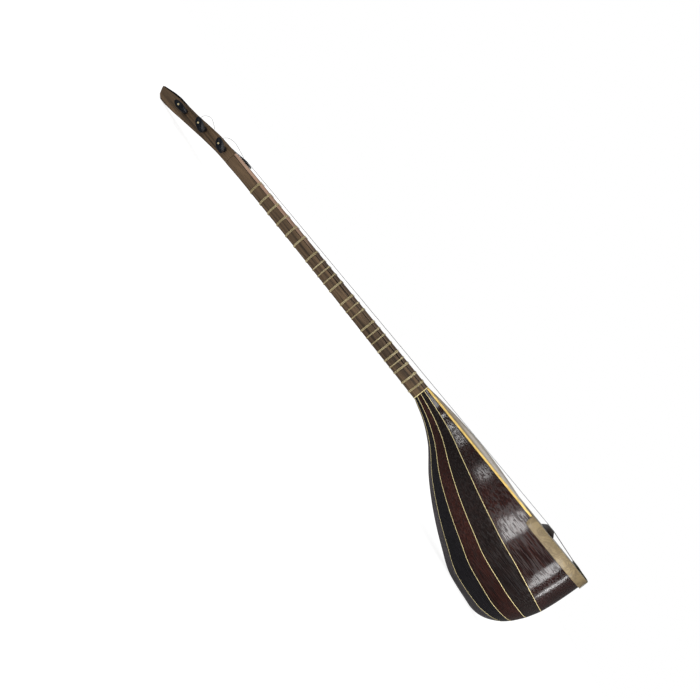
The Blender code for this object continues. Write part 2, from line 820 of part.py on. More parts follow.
# The string nearest each edge goes to the nearest peg, and the middle ones to the tip of the head
STRING_PEGS = [("bass", 2), ("bass", 1), ("bass", 0), ("treble", 0), ("treble", 1), ("treble", 2)]
COIL_PLACES = [-6.0 * MM, -4.4 * MM, -1.6 * MM, 1.6 * MM, 4.4 * MM, 6.0 * MM]
COIL_POINTS_PER_TURN = 10


def string_route(number):
    at_nut, at_bridge = string_places()[number]
    side, peg = STRING_PEGS[number]
    centre = peg_axis(side, peg)
    radius = PEG_SHAFT_RADIUS + SEAT + STRING_DIAMETER / 2 + 0.15 * MM
    lift = SEAT + STRING_DIAMETER / 2
    bridge_top = SKIN_TOP + SEAT + BRIDGE_HEIGHT + lift
    coil_y = COIL_PLACES[number]
    supports = [Vector((centre.x, 0, centre.z + radius))]
    supports += [Vector((x, 0, z + lift)) for x, z in nut_points()]
    supports += [Vector((BRIDGE_AT - BRIDGE_TOP_WIDTH / 2, 0, bridge_top))]
    supports += [Vector((BRIDGE_AT + BRIDGE_TOP_WIDTH / 2, 0, bridge_top))]
    supports += [Vector((holder_front() - SEAT, 0, SKIN_TOP + SEAT + HOLDER_HEIGHT * 0.6))]
    route = over_supports(supports)
    slope = (route[1].z - route[0].z) / (route[1].x - route[0].x)
    last_turn = math.pi / 2 + math.atan(slope)
    count = STRING_TURNS * COIL_POINTS_PER_TURN
    drift = math.copysign(STRING_TURN_PITCH, coil_y)
    points = []
    for k in range(count + 1):
        back = (count - k) / COIL_POINTS_PER_TURN
        turn = last_turn + 2 * math.pi * back
        y = coil_y + drift * (back - STRING_TURNS / 2)
        points.append(Vector((
            centre.x + radius * math.cos(turn), y, centre.z + radius * math.sin(turn),
        )))
    coil = list(points)
    leave_y = points[-1].y
    for place_on in route[1:]:
        if place_on.x < BRIDGE_AT - BRIDGE_TOP_WIDTH:
            along = (place_on.x - points[count].x) / (NUT_AT - points[count].x)
            y = leave_y + (at_nut - leave_y) * min(along, 1.0)
        else:
            y = at_bridge
        points.append(Vector((place_on.x, y, place_on.z)))
    points[-1].y = at_bridge * 0.85
    return points, coil


def make_strings():
    for number in range(2 * COURSES):
        points, coil = string_route(number)
        cord("string_%d" % (number + 1), points, STRING_DIAMETER, 1, "steel")
        gap = least_gap(coil, STRING_DIAMETER, COIL_POINTS_PER_TURN)
        print("string_%d winding: least gap %.2f mm" % (number + 1, gap / MM))


def fret_at(cents):
    return NUT_AT + SCALE_LENGTH * (1 - 2 ** (-cents / 1200))


def make_frets():
    """Gut frets, each one length wound round the neck and free to be moved along it."""
    for number, cents in enumerate(FRET_CENTS, start=1):
        x = fret_at(cents)
        turns = TURNS_OF_THIN_FRET if number in THIN_FRETS else TURNS_OF_THICK_FRET
        ring = neck_ring(x, SEAT + FRET_GUT / 2 + 0.05 * MM)
        per_turn = len(ring)
        points = []
        for k in range(turns * per_turn):
            along = (k / per_turn - turns / 2) * FRET_PITCH
            at = ring[(k + 2) % per_turn]
            points.append(Vector((along, at.y, at.z)))
        name = "fret_%02d" % number
        cord(name, points, FRET_GUT, 0, "gut", (x, 0, 0))
        print("%s winding: least gap %.2f mm" % (name, least_gap(points, FRET_GUT, per_turn) / MM))


# The face

def arch(x):
    """How far the middle of the wooden face rises above its edges."""
    return WOOD_ARCH * math.sin(math.pi * min(max(x / WOOD_LENGTH, 0.0), 1.0))


def make_soundboard():
    across = 6
    inset = BINDING_THICKNESS + SEAT
    first = SEAT
    last = WOOD_LENGTH - 2 * SEAT
    rings = []
    for i in range(FACE_STATIONS + 1):
        x = first + (last - first) * i / FACE_STATIONS
        half = half_width(x) - inset
        top = []
        bottom = []
        for k in range(across + 1):
            share = 2 * k / across - 1
            rise = arch(x) * (1 - share * share)
            top.append(Vector((x, share * half, rise)))
            bottom.append(Vector((x, share * half, rise - WOOD_THICKNESS)))
        rings.append(top + list(reversed(bottom)))
    board = mesh_piece("soundboard", loft(rings), "soundboard")
    cut(board, sound_hole_cutter())
    return board


def sound_hole_cutter():
    """Seven small holes: one in the middle and six round it."""
    made = bmesh.new()
    places = [(0.0, 0.0)]
    for k in range(6):
        turn = math.pi * k / 3
        places.append((SOUND_HOLE_SPACING * math.cos(turn), SOUND_HOLE_SPACING * math.sin(turn)))
    for along, across in places:
        bmesh.ops.create_cone(
            made, cap_ends=True, segments=8, radius1=SOUND_HOLE_RADIUS, radius2=SOUND_HOLE_RADIUS,
            depth=20 * MM, matrix=Matrix.Translation((SOUND_HOLES_AT + along, across, 0)),
        )
    return cutter_from("sound_hole_cutter", made)


def make_bindings():
    for side in ("bass", "treble"):
        rings = []
        for i in range(FACE_STATIONS + 1):
            x = SEAT + (WOOD_LENGTH - 3 * SEAT) * i / FACE_STATIONS
            outer = half_width(x)
            inner = outer - BINDING_THICKNESS
            rings.append([
                Vector((x, -outer, 0)), Vector((x, -outer, -WOOD_THICKNESS)),
                Vector((x, -inner, -WOOD_THICKNESS)), Vector((x, -inner, 0)),
            ])
        mesh_piece("binding_" + side, loft(mirrored(rings, side)), "binding")


def make_crossbar():
    """The bar under the line where the wood ends and the skin begins."""
    step = WOOD_LENGTH - SEAT
    near = step - CROSSBAR_WIDTH / 2
    far = step + CROSSBAR_WIDTH / 2
    low = -CROSSBAR_DEPTH
    outline = [
        (near, low), (far, low), (far, 0.0), (step, 0.0), (step, -FACE_EDGE_BELOW),
        (near, -FACE_EDGE_BELOW),
    ]
    half = side_y(near, low) - RIB_THICKNESS - 2 * SEAT
    return extruded_piece("crossbar", outline, half, "spruce")


def rim_points(count):
    """Points along the body's outline under the skin, from bass corner round to treble corner."""
    steps = 400
    start = WOOD_LENGTH + SEAT
    fine = []
    for i in range(steps):
        x = start + (WIDEST_AT - start) * i / steps
        fine.append(Vector((x, -side_y(x, 0.0), 0.0)))
    for i in range(steps + 1):
        turn = i / steps * math.pi / 2
        x = WIDEST_AT + TAIL_LENGTH * (math.sin(turn) ** 2) ** (1 / TAIL_POWER)
        fine.append(Vector((x, -BODY_HALF_WIDTH * math.cos(turn), 0.0)))
    return even_points(fine, [i / count for i in range(count + 1)])


def make_skin():
    """The skin: stretched over the rim and folded down round the outside of the bowl."""
    bass = rim_points(SKIN_STATIONS)
    # a short first step leaves room for the fold's rounded front corner
    corner = bass[0].lerp(bass[1], 0.22)
    bass.insert(1, corner)
    rim = bass + [Vector((p.x, -p.y, p.z)) for p in reversed(bass[:-1])]
    folds = [SKIN_FOLD] * len(rim)
    folds[0] = folds[-1] = SKIN_FOLD * 0.55
    folds[1] = folds[-2] = SKIN_FOLD * 0.93
    made = bmesh.new()
    rows = []
    for point, fold in zip(rim, folds):
        level = Vector((0.0, 0.0, -fold))
        out_top = outward(point + Vector((0, 0, -0.2 * MM)))
        out_top = Vector((out_top.x, out_top.y, 0)).normalized()
        side = math.copysign(1, point.y) if abs(point.y) > 0 else 1
        if point.x < WIDEST_AT:
            low = Vector((point.x, side * side_y(point.x, -fold), -fold))
        else:
            share = (1 - (fold / BODY_DEPTH) ** DEPTH_POWER)
            low = Vector((
                WIDEST_AT + (point.x - WIDEST_AT) * share ** (1 / TAIL_POWER),
                point.y * share ** (1 / PLAN_POWER), level.z,
            ))
        rows.append([
            made.verts.new(point + out_top * (SEAT + SKIN_THICKNESS) + Vector((0, 0, SKIN_TOP))),
            made.verts.new(low + out_top * (SEAT + SKIN_THICKNESS)),
            made.verts.new(low + out_top * SEAT),
            made.verts.new(point + out_top * SEAT + Vector((0, 0, SEAT))),
        ])
    for row, following in zip(rows, rows[1:]):
        for a, b in ((0, 1), (1, 2), (2, 3)):
            made.faces.new((row[a], row[b], following[b], following[a]))
    made.faces.new([row[0] for row in rows])
    made.faces.new([row[3] for row in reversed(rows)])
    made.faces.new(rows[0])
    made.faces.new(list(reversed(rows[-1])))
    made.faces.new((rows[0][0], rows[0][3], rows[-1][3], rows[-1][0]))
    return mesh_piece("skin", made, "skin")


def make_bridge():
    low = SKIN_TOP + SEAT
    high = low + BRIDGE_HEIGHT
    waist = low + BRIDGE_HEIGHT * 0.18
    sizes = [
        (low, BRIDGE_FOOT_LENGTH, BRIDGE_FOOT_WIDTH),
        (waist, BRIDGE_FOOT_LENGTH, BRIDGE_FOOT_WIDTH),
        (high, BRIDGE_TOP_LENGTH, BRIDGE_TOP_WIDTH),
    ]
    rings = []
    for z, length, width in sizes:
        a, b = width / 2, length / 2
        rings.append([
            Vector((BRIDGE_AT - a, -b, z)), Vector((BRIDGE_AT + a, -b, z)),
            Vector((BRIDGE_AT + a, b, z)), Vector((BRIDGE_AT - a, b, z)),
        ])
    return mesh_piece("bridge", loft(rings), "bridge")


def holder_front():
    return BODY_LENGTH + SKIN_TOP - HOLDER_LENGTH


def make_string_holder():
    """The string holder: a wedge on the skin at the tail, with a lip down over the edge."""
    stations = 6
    rings = []
    for i in range(stations + 1):
        y = HOLDER_HALF_WIDTH * (2 * i / stations - 1)
        back = WIDEST_AT + TAIL_LENGTH * (1 - (y / BODY_HALF_WIDTH) ** 2) ** (1 / TAIL_POWER)
        inside = back + 2 * SEAT + SKIN_THICKNESS
        outside = inside + HOLDER_THICKNESS
        under = SKIN_TOP + SEAT
        front = holder_front()
        rings.append([
            Vector((front, y, under)), Vector((front, y, under + HOLDER_HEIGHT)),
            Vector((front + HOLDER_LENGTH * 0.3, y, under + HOLDER_HEIGHT * 0.72)),
            Vector((inside - 2 * MM, y, under + HOLDER_HEIGHT * 0.35)),
            Vector((outside - 0.6 * MM, y, under)), Vector((outside, y, under - 1.2 * MM)),
            Vector((outside, y, -HOLDER_LIP)), Vector((inside, y, -HOLDER_LIP)),
            Vector((inside, y, under)),
        ])
    return mesh_piece("string_holder", loft(rings), "horn")


# Blocks inside the bowl

def make_neck_block():
    inset = RIB_THICKNESS + SEAT
    stations = 4
    rings = []
    for i in range(stations + 1):
        x = SEAT + NECK_BLOCK_LENGTH * i / stations
        ring = [Vector((x, -half_width(x) + inset + SEAT, -FACE_EDGE_BELOW - SEAT))]
        for k in range(1, 8):
            turn = math.pi * k / 8
            y = -(half_width(x) - inset - SEAT) * math.cos(turn) * 0.93
            z = -(depth(x) - inset - SEAT) * math.sin(turn) * 0.95
            ring.append(Vector((x, y, min(z, -FACE_EDGE_BELOW - 2 * SEAT))))
        ring.append(Vector((x, half_width(x) - inset - SEAT, -FACE_EDGE_BELOW - SEAT)))
        rings.append(ring)
    return mesh_piece("neck_block", loft(rings), "spruce")


def make_tail_block():
    levels = 6
    columns = 6
    rings = []
    lowest = TAIL_BLOCK_DEPTH * 1.25
    for i in range(levels + 1):
        z = -SEAT - TAIL_BLOCK_DEPTH * i / levels
        # the upper rib is flatter than the bowl's own curve, and the block keeps clear of it
        down = -z / lowest
        inset = RIB_THICKNESS + 3 * SEAT + TAIL_BLOCK_HOLLOW * 4 * down * (1 - down)
        left = 1 - (-z / BODY_DEPTH) ** DEPTH_POWER
        ring = []
        for k in range(columns + 1):
            y = TAIL_BLOCK_HALF_WIDTH * (2 * k / columns - 1)
            room = max(left - (y / BODY_HALF_WIDTH) ** PLAN_POWER, 0.0)
            ring.append(Vector((WIDEST_AT + TAIL_LENGTH * room ** (1 / TAIL_POWER) - inset, y, z)))
        front = BODY_LENGTH - RIB_THICKNESS - 3 * SEAT - TAIL_BLOCK_THICKNESS
        ring.append(Vector((front, TAIL_BLOCK_HALF_WIDTH, z)))
        ring.append(Vector((front, -TAIL_BLOCK_HALF_WIDTH, z)))
        rings.append(ring)
    return mesh_piece("tail_block", loft(rings), "spruce")


def resting_lean():
    """How far the instrument leans when it lies on its bowl and the back of its head."""
    heads = [Vector((NUT_AT - p[0] * MM, 0, p[2] * MM)) for p in HEAD_OUTLINE]
    count = int(RIB_STATIONS * 1.6)
    bowl = even_points(spine_line(), [i / count for i in range(count + 1)])
    slopes = []
    for head in heads:
        slopes.append(min((p.z - head.z) / (p.x - head.x) for p in bowl))
    return math.atan(-max(slopes))


clear_scene()
parts = new_collection("shurangiz")
cutters = new_collection("shurangiz cutters")
instrument = bpy.data.objects.new("instrument", None)
parts.objects.link(instrument)
LEAN = resting_lean()
instrument.rotation_euler = (0, -LEAN, 0)

make_ribs()
make_spine()
make_neck(ramp_cutter())
make_head()
make_cap()
make_nut()
for peg_row in ("bass", "treble"):
    for peg_number in range(3):
        make_peg(peg_row, peg_number)
make_frets()
make_soundboard()
make_bindings()
make_crossbar()
make_skin()
make_bridge()
make_string_holder()
make_neck_block()
make_tail_block()
make_strings()

# The middle of the ground that the instrument takes up is its origin
bpy.context.view_layer.update()
depsgraph = bpy.context.evaluated_depsgraph_get()
corners = []
for piece in parts.objects:
    if piece.type == "EMPTY":
        continue
    evaluated = piece.evaluated_get(depsgraph)
    corners += [evaluated.matrix_world @ vertex.co for vertex in evaluated.to_mesh().vertices]
    evaluated.to_mesh_clear()
middle_x = (min(p.x for p in corners) + max(p.x for p in corners)) / 2
instrument.location = (-middle_x, 0, -min(p.z for p in corners))
print("leans %.2f degrees" % math.degrees(LEAN))
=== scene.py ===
"""A shurangiz seen from its bass side, on a plain pale floor.

The bowl, windings and small fittings are shaped here from the instrument's own sizes, drawn along X
with the neck's joint at x = 0 and the fingerboard's front at z = 0, and then laid on the frame.
"""

import json
import math

import bmesh
import bpy
from mathutils import Matrix, Vector


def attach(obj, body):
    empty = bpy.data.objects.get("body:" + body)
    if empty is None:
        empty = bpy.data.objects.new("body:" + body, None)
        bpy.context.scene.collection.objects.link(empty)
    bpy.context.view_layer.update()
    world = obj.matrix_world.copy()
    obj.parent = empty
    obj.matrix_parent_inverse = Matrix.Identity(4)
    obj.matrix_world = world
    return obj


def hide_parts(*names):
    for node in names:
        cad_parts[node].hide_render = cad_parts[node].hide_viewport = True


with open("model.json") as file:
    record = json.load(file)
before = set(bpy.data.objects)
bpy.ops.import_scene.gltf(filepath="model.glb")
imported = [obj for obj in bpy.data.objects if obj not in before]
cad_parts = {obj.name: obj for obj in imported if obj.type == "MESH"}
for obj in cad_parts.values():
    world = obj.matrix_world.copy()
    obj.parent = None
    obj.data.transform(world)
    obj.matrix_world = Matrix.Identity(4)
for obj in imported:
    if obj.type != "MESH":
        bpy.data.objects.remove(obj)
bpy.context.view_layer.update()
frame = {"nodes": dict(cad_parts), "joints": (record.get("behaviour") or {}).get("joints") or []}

MM = 0.001
HAIR = 0.01 * MM
HOME = "instrument"

# Sizes that the frame's pieces were built to
SEAT = 0.3 * MM
SCALE_LENGTH = 650 * MM
BRIDGE_AT = 257 * MM
NUT_AT = BRIDGE_AT - SCALE_LENGTH
NUT_LENGTH = 17.6 * MM
NUT_HEIGHT = 2.6 * MM
NECK_WIDTH_AT_NUT = 28 * MM
NECK_WIDTH_AT_HEEL = 33 * MM
NECK_DEPTH_AT_HEEL = 25 * MM
NECK_PAST_NUT = 24 * MM
NECK_EDGE = 0.7 * MM
FINGERBOARD_THICKNESS = 4.6 * MM
BODY_LENGTH = 339 * MM
WIDEST_AT = 268 * MM
BODY_HALF_WIDTH = 90 * MM
BODY_DEPTH = 146.6 * MM
TAIL_LENGTH = BODY_LENGTH - WIDEST_AT
WOOD_LENGTH = 210 * MM
FACE_EDGE_BELOW = 3.1 * MM
RIB_THICKNESS = 3.0 * MM
SPINE_HALF_WIDTH = 12 * MM
SPINE_HALF_WIDTH_AT_NECK = 3.6 * MM
SPINE_FULL_WIDTH_AT = 120 * MM
PLAN_SWELL = [(0.0, 0.0), (0.11, 0.06), (0.22, 0.22), (0.37, 0.48), (0.52, 0.70),
              (0.67, 0.865), (0.82, 0.96), (1.0, 1.0)]
DEPTH_SWELL = [(0.0, 0.0), (0.11, 0.08), (0.22, 0.205), (0.37, 0.46), (0.52, 0.66),
               (0.67, 0.82), (0.82, 0.95), (1.0, 1.0)]
DEPTH_POWER = 2.6
TAIL_POWER = 2.2
PEG_SHAFT_RADIUS = 3.2 * MM
FRET_GUT = 0.55 * MM
FRET_PITCH = 1.0 * MM
FRET_CENTS = [80, 138, 189, 250, 312, 371, 461, 515, 556, 604, 656, 752, 805, 855, 951,
              1008, 1063, 1133, 1212, 1274, 1330, 1432, 1527]
THIN_FRETS = [8, 9, 10, 13, 14, 16, 17, 20]
SKIN_TOP = 1.1 * MM
STRING_DIAMETER = 0.5 * MM
STRING_TURNS = 3
STRING_TURN_PITCH = 0.95 * MM

# The joints between the ribs of one side, a few millimetres from the solids' so that they lie as on
# the real bowl: how far along to the widest place, and the share of the depth there
RIB_JOINTS = [
    [(0.0, 0.29), (0.2, 0.275), (0.6, 0.345), (0.9, 0.385), (1.0, 0.412), (1.09, 0.448), (1.26, 0.515)],
    [(0.0, 0.53), (0.2, 0.53), (0.5, 0.575), (0.9, 0.60), (1.0, 0.616), (1.1, 0.632), (1.26, 0.648)],
    [(0.0, 0.77), (0.25, 0.772), (0.65, 0.755), (0.9, 0.765), (1.0, 0.785), (1.1, 0.79), (1.26, 0.74)],
    [(0.0, 0.94), (0.25, 0.92), (0.55, 0.915), (0.85, 0.922), (1.0, 0.918), (1.09, 0.888), (1.26, 0.76)],
]

# The instrument leans with its neck as the frets slide, and its neck joint lies here
slide_axis = next(joint for joint in frame["joints"] if joint["name"] == "fret_01_slide")["axis"]
LEAN = math.atan2(slide_axis[2], slide_axis[0])
NECK_JOINT = Vector((0.102175, 0.0, 0.108386))
TO_FRAME = Matrix.Translation(NECK_JOINT) @ Matrix.Rotation(-LEAN, 4, "Y")
FROM_FRAME = TO_FRAME.inverted()


# Finishes

class Channel:
    """A shader socket that adds its own maths nodes when it is used in an expression."""

    def __init__(self, nodes, socket):
        self.nodes = nodes
        self.socket = socket

    def _maths(self, operation, first, second):
        return self.nodes.node("ShaderNodeMath", {"operation": operation}, {0: first, 1: second})

    def __add__(self, other):
        return self._maths("ADD", self, other)

    def __radd__(self, other):
        return self._maths("ADD", other, self)

    def __rsub__(self, other):
        return self._maths("SUBTRACT", other, self)

    def __mul__(self, other):
        return self._maths("MULTIPLY", self, other)

    def __rmul__(self, other):
        return self._maths("MULTIPLY", other, self)


class Nodes:
    """A shader tree, and one way to add any node to it."""

    def __init__(self, tree):
        self.tree = tree

    def node(self, kind, settings=None, sockets=None, output=0):
        made = self.tree.nodes.new(kind)
        for key, value in (settings or {}).items():
            if key == "stops":
                self._set_stops(made.color_ramp, value)
            else:
                setattr(made, key, value)
        for key, value in (sockets or {}).items():
            self.feed(made.inputs[key], value)
        return Channel(self, made.outputs[output])

    @staticmethod
    def _set_stops(ramp, stops):
        while len(ramp.elements) < len(stops):
            ramp.elements.new(0.5)
        for element, (place, value) in zip(ramp.elements, stops):
            element.position = place
            element.color = value if isinstance(value, tuple) else (value, value, value, 1)

    def feed(self, socket, value):
        if isinstance(value, Channel):
            self.tree.links.new(value.socket, socket)
        else:
            socket.default_value = value


class Finish(Nodes):
    """One material and the nodes that it is made of."""

    def __init__(self, name):
        self.material = bpy.data.materials.new(name)
        self.material.use_nodes = True
        super().__init__(self.material.node_tree)
        self.shader = self.tree.nodes["Principled BSDF"]

    def set(self, **values):
        for name, value in values.items():
            self.feed(self.shader.inputs[name.replace("_", " ")], value)

    def place(self, scale, turn=True):
        """Object coordinates turned along the instrument and stretched."""
        where = self.node("ShaderNodeTexCoord", output="Object")
        angles = (0, LEAN if turn else 0, 0)
        turned = self.node("ShaderNodeMapping", None, {"Vector": where, "Rotation": angles})
        return self.node("ShaderNodeMapping", None, {"Vector": turned, "Scale": scale})

    def noise(self, scale, detail=4.0, rough=0.55, twist=0.0, turn=True):
        sockets = {"Vector": self.place(scale, turn), "Scale": 1.0, "Detail": detail,
                   "Roughness": rough, "Distortion": twist}
        return self.node("ShaderNodeTexNoise", None, sockets)

    def ramp(self, value, stops):
        return self.node("ShaderNodeValToRGB", {"stops": stops}, {"Fac": value})

    def blend(self, share, first, second, how="MIX"):
        settings = {"data_type": "RGBA", "blend_type": how}
        return self.node("ShaderNodeMix", settings, {0: share, 6: first, 7: second}, output=2)

    def bump(self, height, depth, strength=1.0):
        sockets = {"Height": height, "Distance": depth, "Strength": strength}
        self.set(Normal=self.node("ShaderNodeBump", None, sockets))


def tone(red, green, blue):
    """Screen values of 0 to 255 as a linear colour."""
    def linear(value):
        share = value / 255
        return share / 12.92 if share <= 0.04045 else ((share + 0.055) / 1.055) ** 2.4
    return (linear(red), linear(green), linear(blue), 1.0)


def grained_wood(name, dark, light, rough=0.42, gloss=0.15, grain=1.0):
    """Oiled or lacquered wood with fine pores and slow streaks along the instrument."""
    wood = Finish(name)
    streaks = wood.noise((9 * grain, 260 * grain, 260 * grain), 5.0, 0.6, 0.4)
    pores = wood.noise((60 * grain, 1500 * grain, 1500 * grain), 2.0, 0.5)
    wide = wood.noise((5, 40, 40), 3.0, 0.5, 0.3)
    mixed = wood.blend(wood.ramp(streaks, [(0.32, 0.0), (0.68, 1.0)]), dark, light)
    shade = wood.ramp(wide, [(0.3, 0.72), (0.7, 1.12)])
    mixed = wood.blend(1.0, mixed, shade, "MULTIPLY")
    mixed = wood.blend(wood.ramp(pores, [(0.52, 0.0), (0.72, 0.45)]), mixed, dark)
    wood.set(Base_Color=mixed, Roughness=rough + 0.16 * pores, Coat_Weight=gloss, Coat_Roughness=0.25,
             Specular_IOR_Level=0.3)
    wood.bump(pores + 0.5 * streaks, 0.08 * MM, 0.5)
    return wood.material


def lacquered_rib(name, dark, light):
    """Glossy dark rib: the grain's fine grooves run along it and break up what it mirrors."""
    rib = Finish(name)
    grain = rib.noise((10, 700, 700), 4.0, 0.6, 0.3)
    grooves = rib.noise((5, 620, 620), 2.0, 0.6)
    figure = rib.noise((120, 30, 30), 3.0, 0.5, 0.6)
    wide = rib.noise((5, 18, 18), 3.0, 0.55, 0.5)
    mixed = rib.blend(rib.ramp(grain, [(0.34, 0.0), (0.7, 1.0)]), dark, light)
    mixed = rib.blend(1.0, mixed, rib.ramp(wide, [(0.32, 0.45), (0.74, 1.5)]), "MULTIPLY")
    mixed = rib.blend(0.2, mixed, rib.ramp(figure, [(0.36, 0.7), (0.66, 1.3)]), "MULTIPLY")
    dull = rib.ramp(grooves, [(0.42, 0.42), (0.52, 0.12)])
    rib.set(Base_Color=mixed, Roughness=dull, Coat_Weight=0.06, Coat_Roughness=0.08,
            Specular_IOR_Level=0.4)
    rib.bump(grooves, 0.09 * MM, 0.6)
    return rib.material


def polished(name, colour, rough, scale=900, amount=0.1, coat=0.3):
    """Dense hard stuff with a faint mottling, as ebony, horn or bone."""
    dense = Finish(name)
    cloud = dense.noise((scale / 4, scale, scale), 4.0, 0.6)
    darker = tuple(part * (1 - 2.4 * amount) for part in colour[:3]) + (1.0,)
    lighter = tuple(min(part * (1 + 2.4 * amount) + 0.004 * amount, 1.0) for part in colour[:3]) + (1.0,)
    mixed = dense.blend(dense.ramp(cloud, [(0.35, 0.0), (0.65, 1.0)]), darker, lighter)
    dense.set(Base_Color=mixed, Roughness=rough + 0.12 * cloud, Coat_Weight=coat, Specular_IOR_Level=0.3)
    dense.bump(cloud, 0.03 * MM, 0.4)
    return dense.material


# Where the facing turns from pink to brown, measured along the neck from the frame's own origin
FACING_PINK_TO = -195 * MM
FACING_BROWN_FROM = -120 * MM


def fingerboard_facing(name, near_nut, further):
    """Straight-grained facing, pinker by the nut and brown from the fifth fret on."""
    wood = Finish(name)
    streaks = wood.noise((9, 320, 320), 5.0, 0.6, 0.4)
    pores = wood.noise((60, 1500, 1500), 2.0, 0.5)
    along = wood.node("ShaderNodeSeparateXYZ", None, {0: wood.place((1, 1, 1))}, output="X")
    reach = {0: along, 1: FACING_PINK_TO, 2: FACING_BROWN_FROM}
    browner = wood.node("ShaderNodeMapRange", {"clamp": True}, reach)
    pink = wood.blend(wood.ramp(streaks, [(0.32, 0.0), (0.68, 1.0)]), *near_nut)
    brown = wood.blend(wood.ramp(streaks, [(0.32, 0.0), (0.68, 1.0)]), *further)
    wood.set(Base_Color=wood.blend(browner, pink, brown), Roughness=0.42 + 0.16 * pores,
             Specular_IOR_Level=0.3)
    wood.bump(pores + 0.5 * streaks, 0.08 * MM, 0.5)
    return wood.material


def stretched_skin(name):
    """Parchment: cloudy, with darker veins and fine paler flecks."""
    skin = Finish(name)
    cloud = skin.noise((16, 16, 16), 5.0, 0.6, 0.6)
    veins = skin.noise((42, 42, 42), 6.0, 0.7, 2.2)
    fine = skin.noise((900, 900, 900), 3.0, 0.6)
    mixed = skin.blend(skin.ramp(cloud, [(0.3, 0.0), (0.7, 1.0)]), tone(102, 86, 57), tone(149, 131, 94))
    vein_mask = skin.ramp(veins, [(0.44, 0.0), (0.5, 0.55), (0.56, 0.0)])
    mixed = skin.blend(vein_mask, mixed, tone(70, 56, 36))
    mixed = skin.blend(skin.ramp(fine, [(0.5, 0.0), (0.75, 0.3)]), mixed, tone(158, 140, 102))
    skin.set(Base_Color=mixed, Roughness=0.42 + 0.2 * fine, Coat_Weight=0.12)
    skin.bump(veins + 0.4 * fine, 0.18 * MM, 0.5)
    return skin.material


def drawn_wire(name):
    wire = Finish(name)
    streak = wire.noise((200, 2600, 2600), 2.0, 0.5)
    shade = wire.ramp(streak, [(0.3, tone(88, 90, 94)), (0.7, tone(144, 146, 150))])
    wire.set(Base_Color=shade, Roughness=0.2 + 0.2 * streak, Metallic=1.0)
    return wire.material


def twisted_gut(name):
    gut = Finish(name)
    fibre = gut.noise((1800, 1800, 1800), 3.0, 0.6)
    stain = gut.noise((60, 60, 60), 3.0, 0.5)
    mixed = gut.blend(gut.ramp(stain, [(0.35, 0.0), (0.7, 1.0)]), tone(176, 160, 116), tone(216, 202, 160))
    gut.set(Base_Color=mixed, Roughness=0.4 + 0.25 * fibre, Coat_Weight=0.1)
    gut.bump(fibre, 0.05 * MM, 0.5)
    return gut.material


MATERIALS = {
    "walnut": grained_wood("oiled walnut", tone(52, 40, 28), tone(114, 91, 66), 0.45, 0.03),
    "facing": fingerboard_facing("pinkish facing", (tone(120, 90, 72), tone(190, 156, 132)),
                                 (tone(54, 42, 33), tone(110, 90, 70))),
    "groove": polished("dark glue line", tone(22, 18, 16), 0.5, 500, 0.1, 0.0),
    "soundboard": grained_wood("mulberry soundboard", tone(128, 108, 80), tone(172, 152, 120), 0.3, 0.3, 0.7),
    "spruce": grained_wood("plain spruce", tone(176, 150, 106), tone(214, 190, 146), 0.6, 0.0),
    "rib_1": lacquered_rib("red brown rib", tone(20, 10, 10), tone(50, 26, 22)),
    "rib_2": lacquered_rib("brown black rib", tone(15, 11, 11), tone(35, 26, 24)),
    "rib_3": lacquered_rib("wine red rib", tone(22, 11, 10), tone(54, 28, 23)),
    "rib_4": lacquered_rib("black rib", tone(12, 11, 13), tone(28, 25, 29)),
    # The fifth rib's grey is a painted reflection. Along the bowl's bottom edge the lacquer mirrors the
    # bright room at a grazing angle, and this grey stands in for that.
    "rib_5": lacquered_rib("rib with painted grey reflection", tone(40, 36, 38), tone(78, 73, 77)),
    "line": polished("cream line wood", tone(224, 208, 152), 0.45, 500, 0.05, 0.1),
    "binding": polished("yellow binding", tone(214, 182, 104), 0.45, 300, 0.08, 0.1),
    "ebony": polished("ebony", tone(14, 14, 16), 0.4, 900, 0.16, 0.0),
    "peg": polished("blue black peg wood", tone(13, 18, 28), 0.42, 700, 0.16, 0.0),
    "pip": polished("bone pip", tone(190, 176, 136), 0.45, 700, 0.08, 0.0),
    "bridge": grained_wood("bridge wood", tone(36, 27, 23), tone(66, 51, 44), 0.45, 0.1, 1.6),
    "horn": polished("horn", tone(86, 82, 62), 0.34, 160, 0.16, 0.3),
    "skin": stretched_skin("stretched skin"),
    "steel": drawn_wire("string wire"),
    "gut": twisted_gut("fret gut"),
}


# Shapes of the bowl

def smooth(points, at):
    """The value at a place on a curve through (place, value) points that never overshoots them."""
    if at <= points[0][0]:
        return points[0][1]
    if at >= points[-1][0]:
        return points[-1][1]
    steps = [b[0] - a[0] for a, b in zip(points, points[1:])]
    slopes = [(b[1] - a[1]) / step for a, b, step in zip(points, points[1:], steps)]
    tangents = [slopes[0]]
    for before, after in zip(slopes, slopes[1:]):
        tangents.append(0.0 if before * after <= 0 else 2 * before * after / (before + after))
    tangents.append(slopes[-1])
    i = max(k for k in range(len(steps)) if points[k][0] <= at)
    t = (at - points[i][0]) / steps[i]
    rise = points[i][1] * (1 + 2 * t) * (1 - t) ** 2 + points[i + 1][1] * t * t * (3 - 2 * t)
    lean = tangents[i] * t * (1 - t) ** 2 + tangents[i + 1] * t * t * (t - 1)
    return rise + lean * steps[i]


def half_width(x):
    heel = NECK_WIDTH_AT_HEEL / 2
    return heel + (BODY_HALF_WIDTH - heel) * smooth(PLAN_SWELL, min(x, WIDEST_AT) / WIDEST_AT)


def depth(x):
    heel = NECK_DEPTH_AT_HEEL
    return heel + (BODY_DEPTH - heel) * smooth(DEPTH_SWELL, min(x, WIDEST_AT) / WIDEST_AT)


def tail_share(x):
    return max(0.0, (x - WIDEST_AT) / TAIL_LENGTH) ** TAIL_POWER


def surface_value(point):
    """Zero on the bowl's outer surface, and above zero outside it."""
    across = (abs(point.y) / half_width(point.x)) ** 2
    down = (max(-point.z, 0.0) / depth(point.x)) ** DEPTH_POWER
    return tail_share(point.x) + across + down - 1


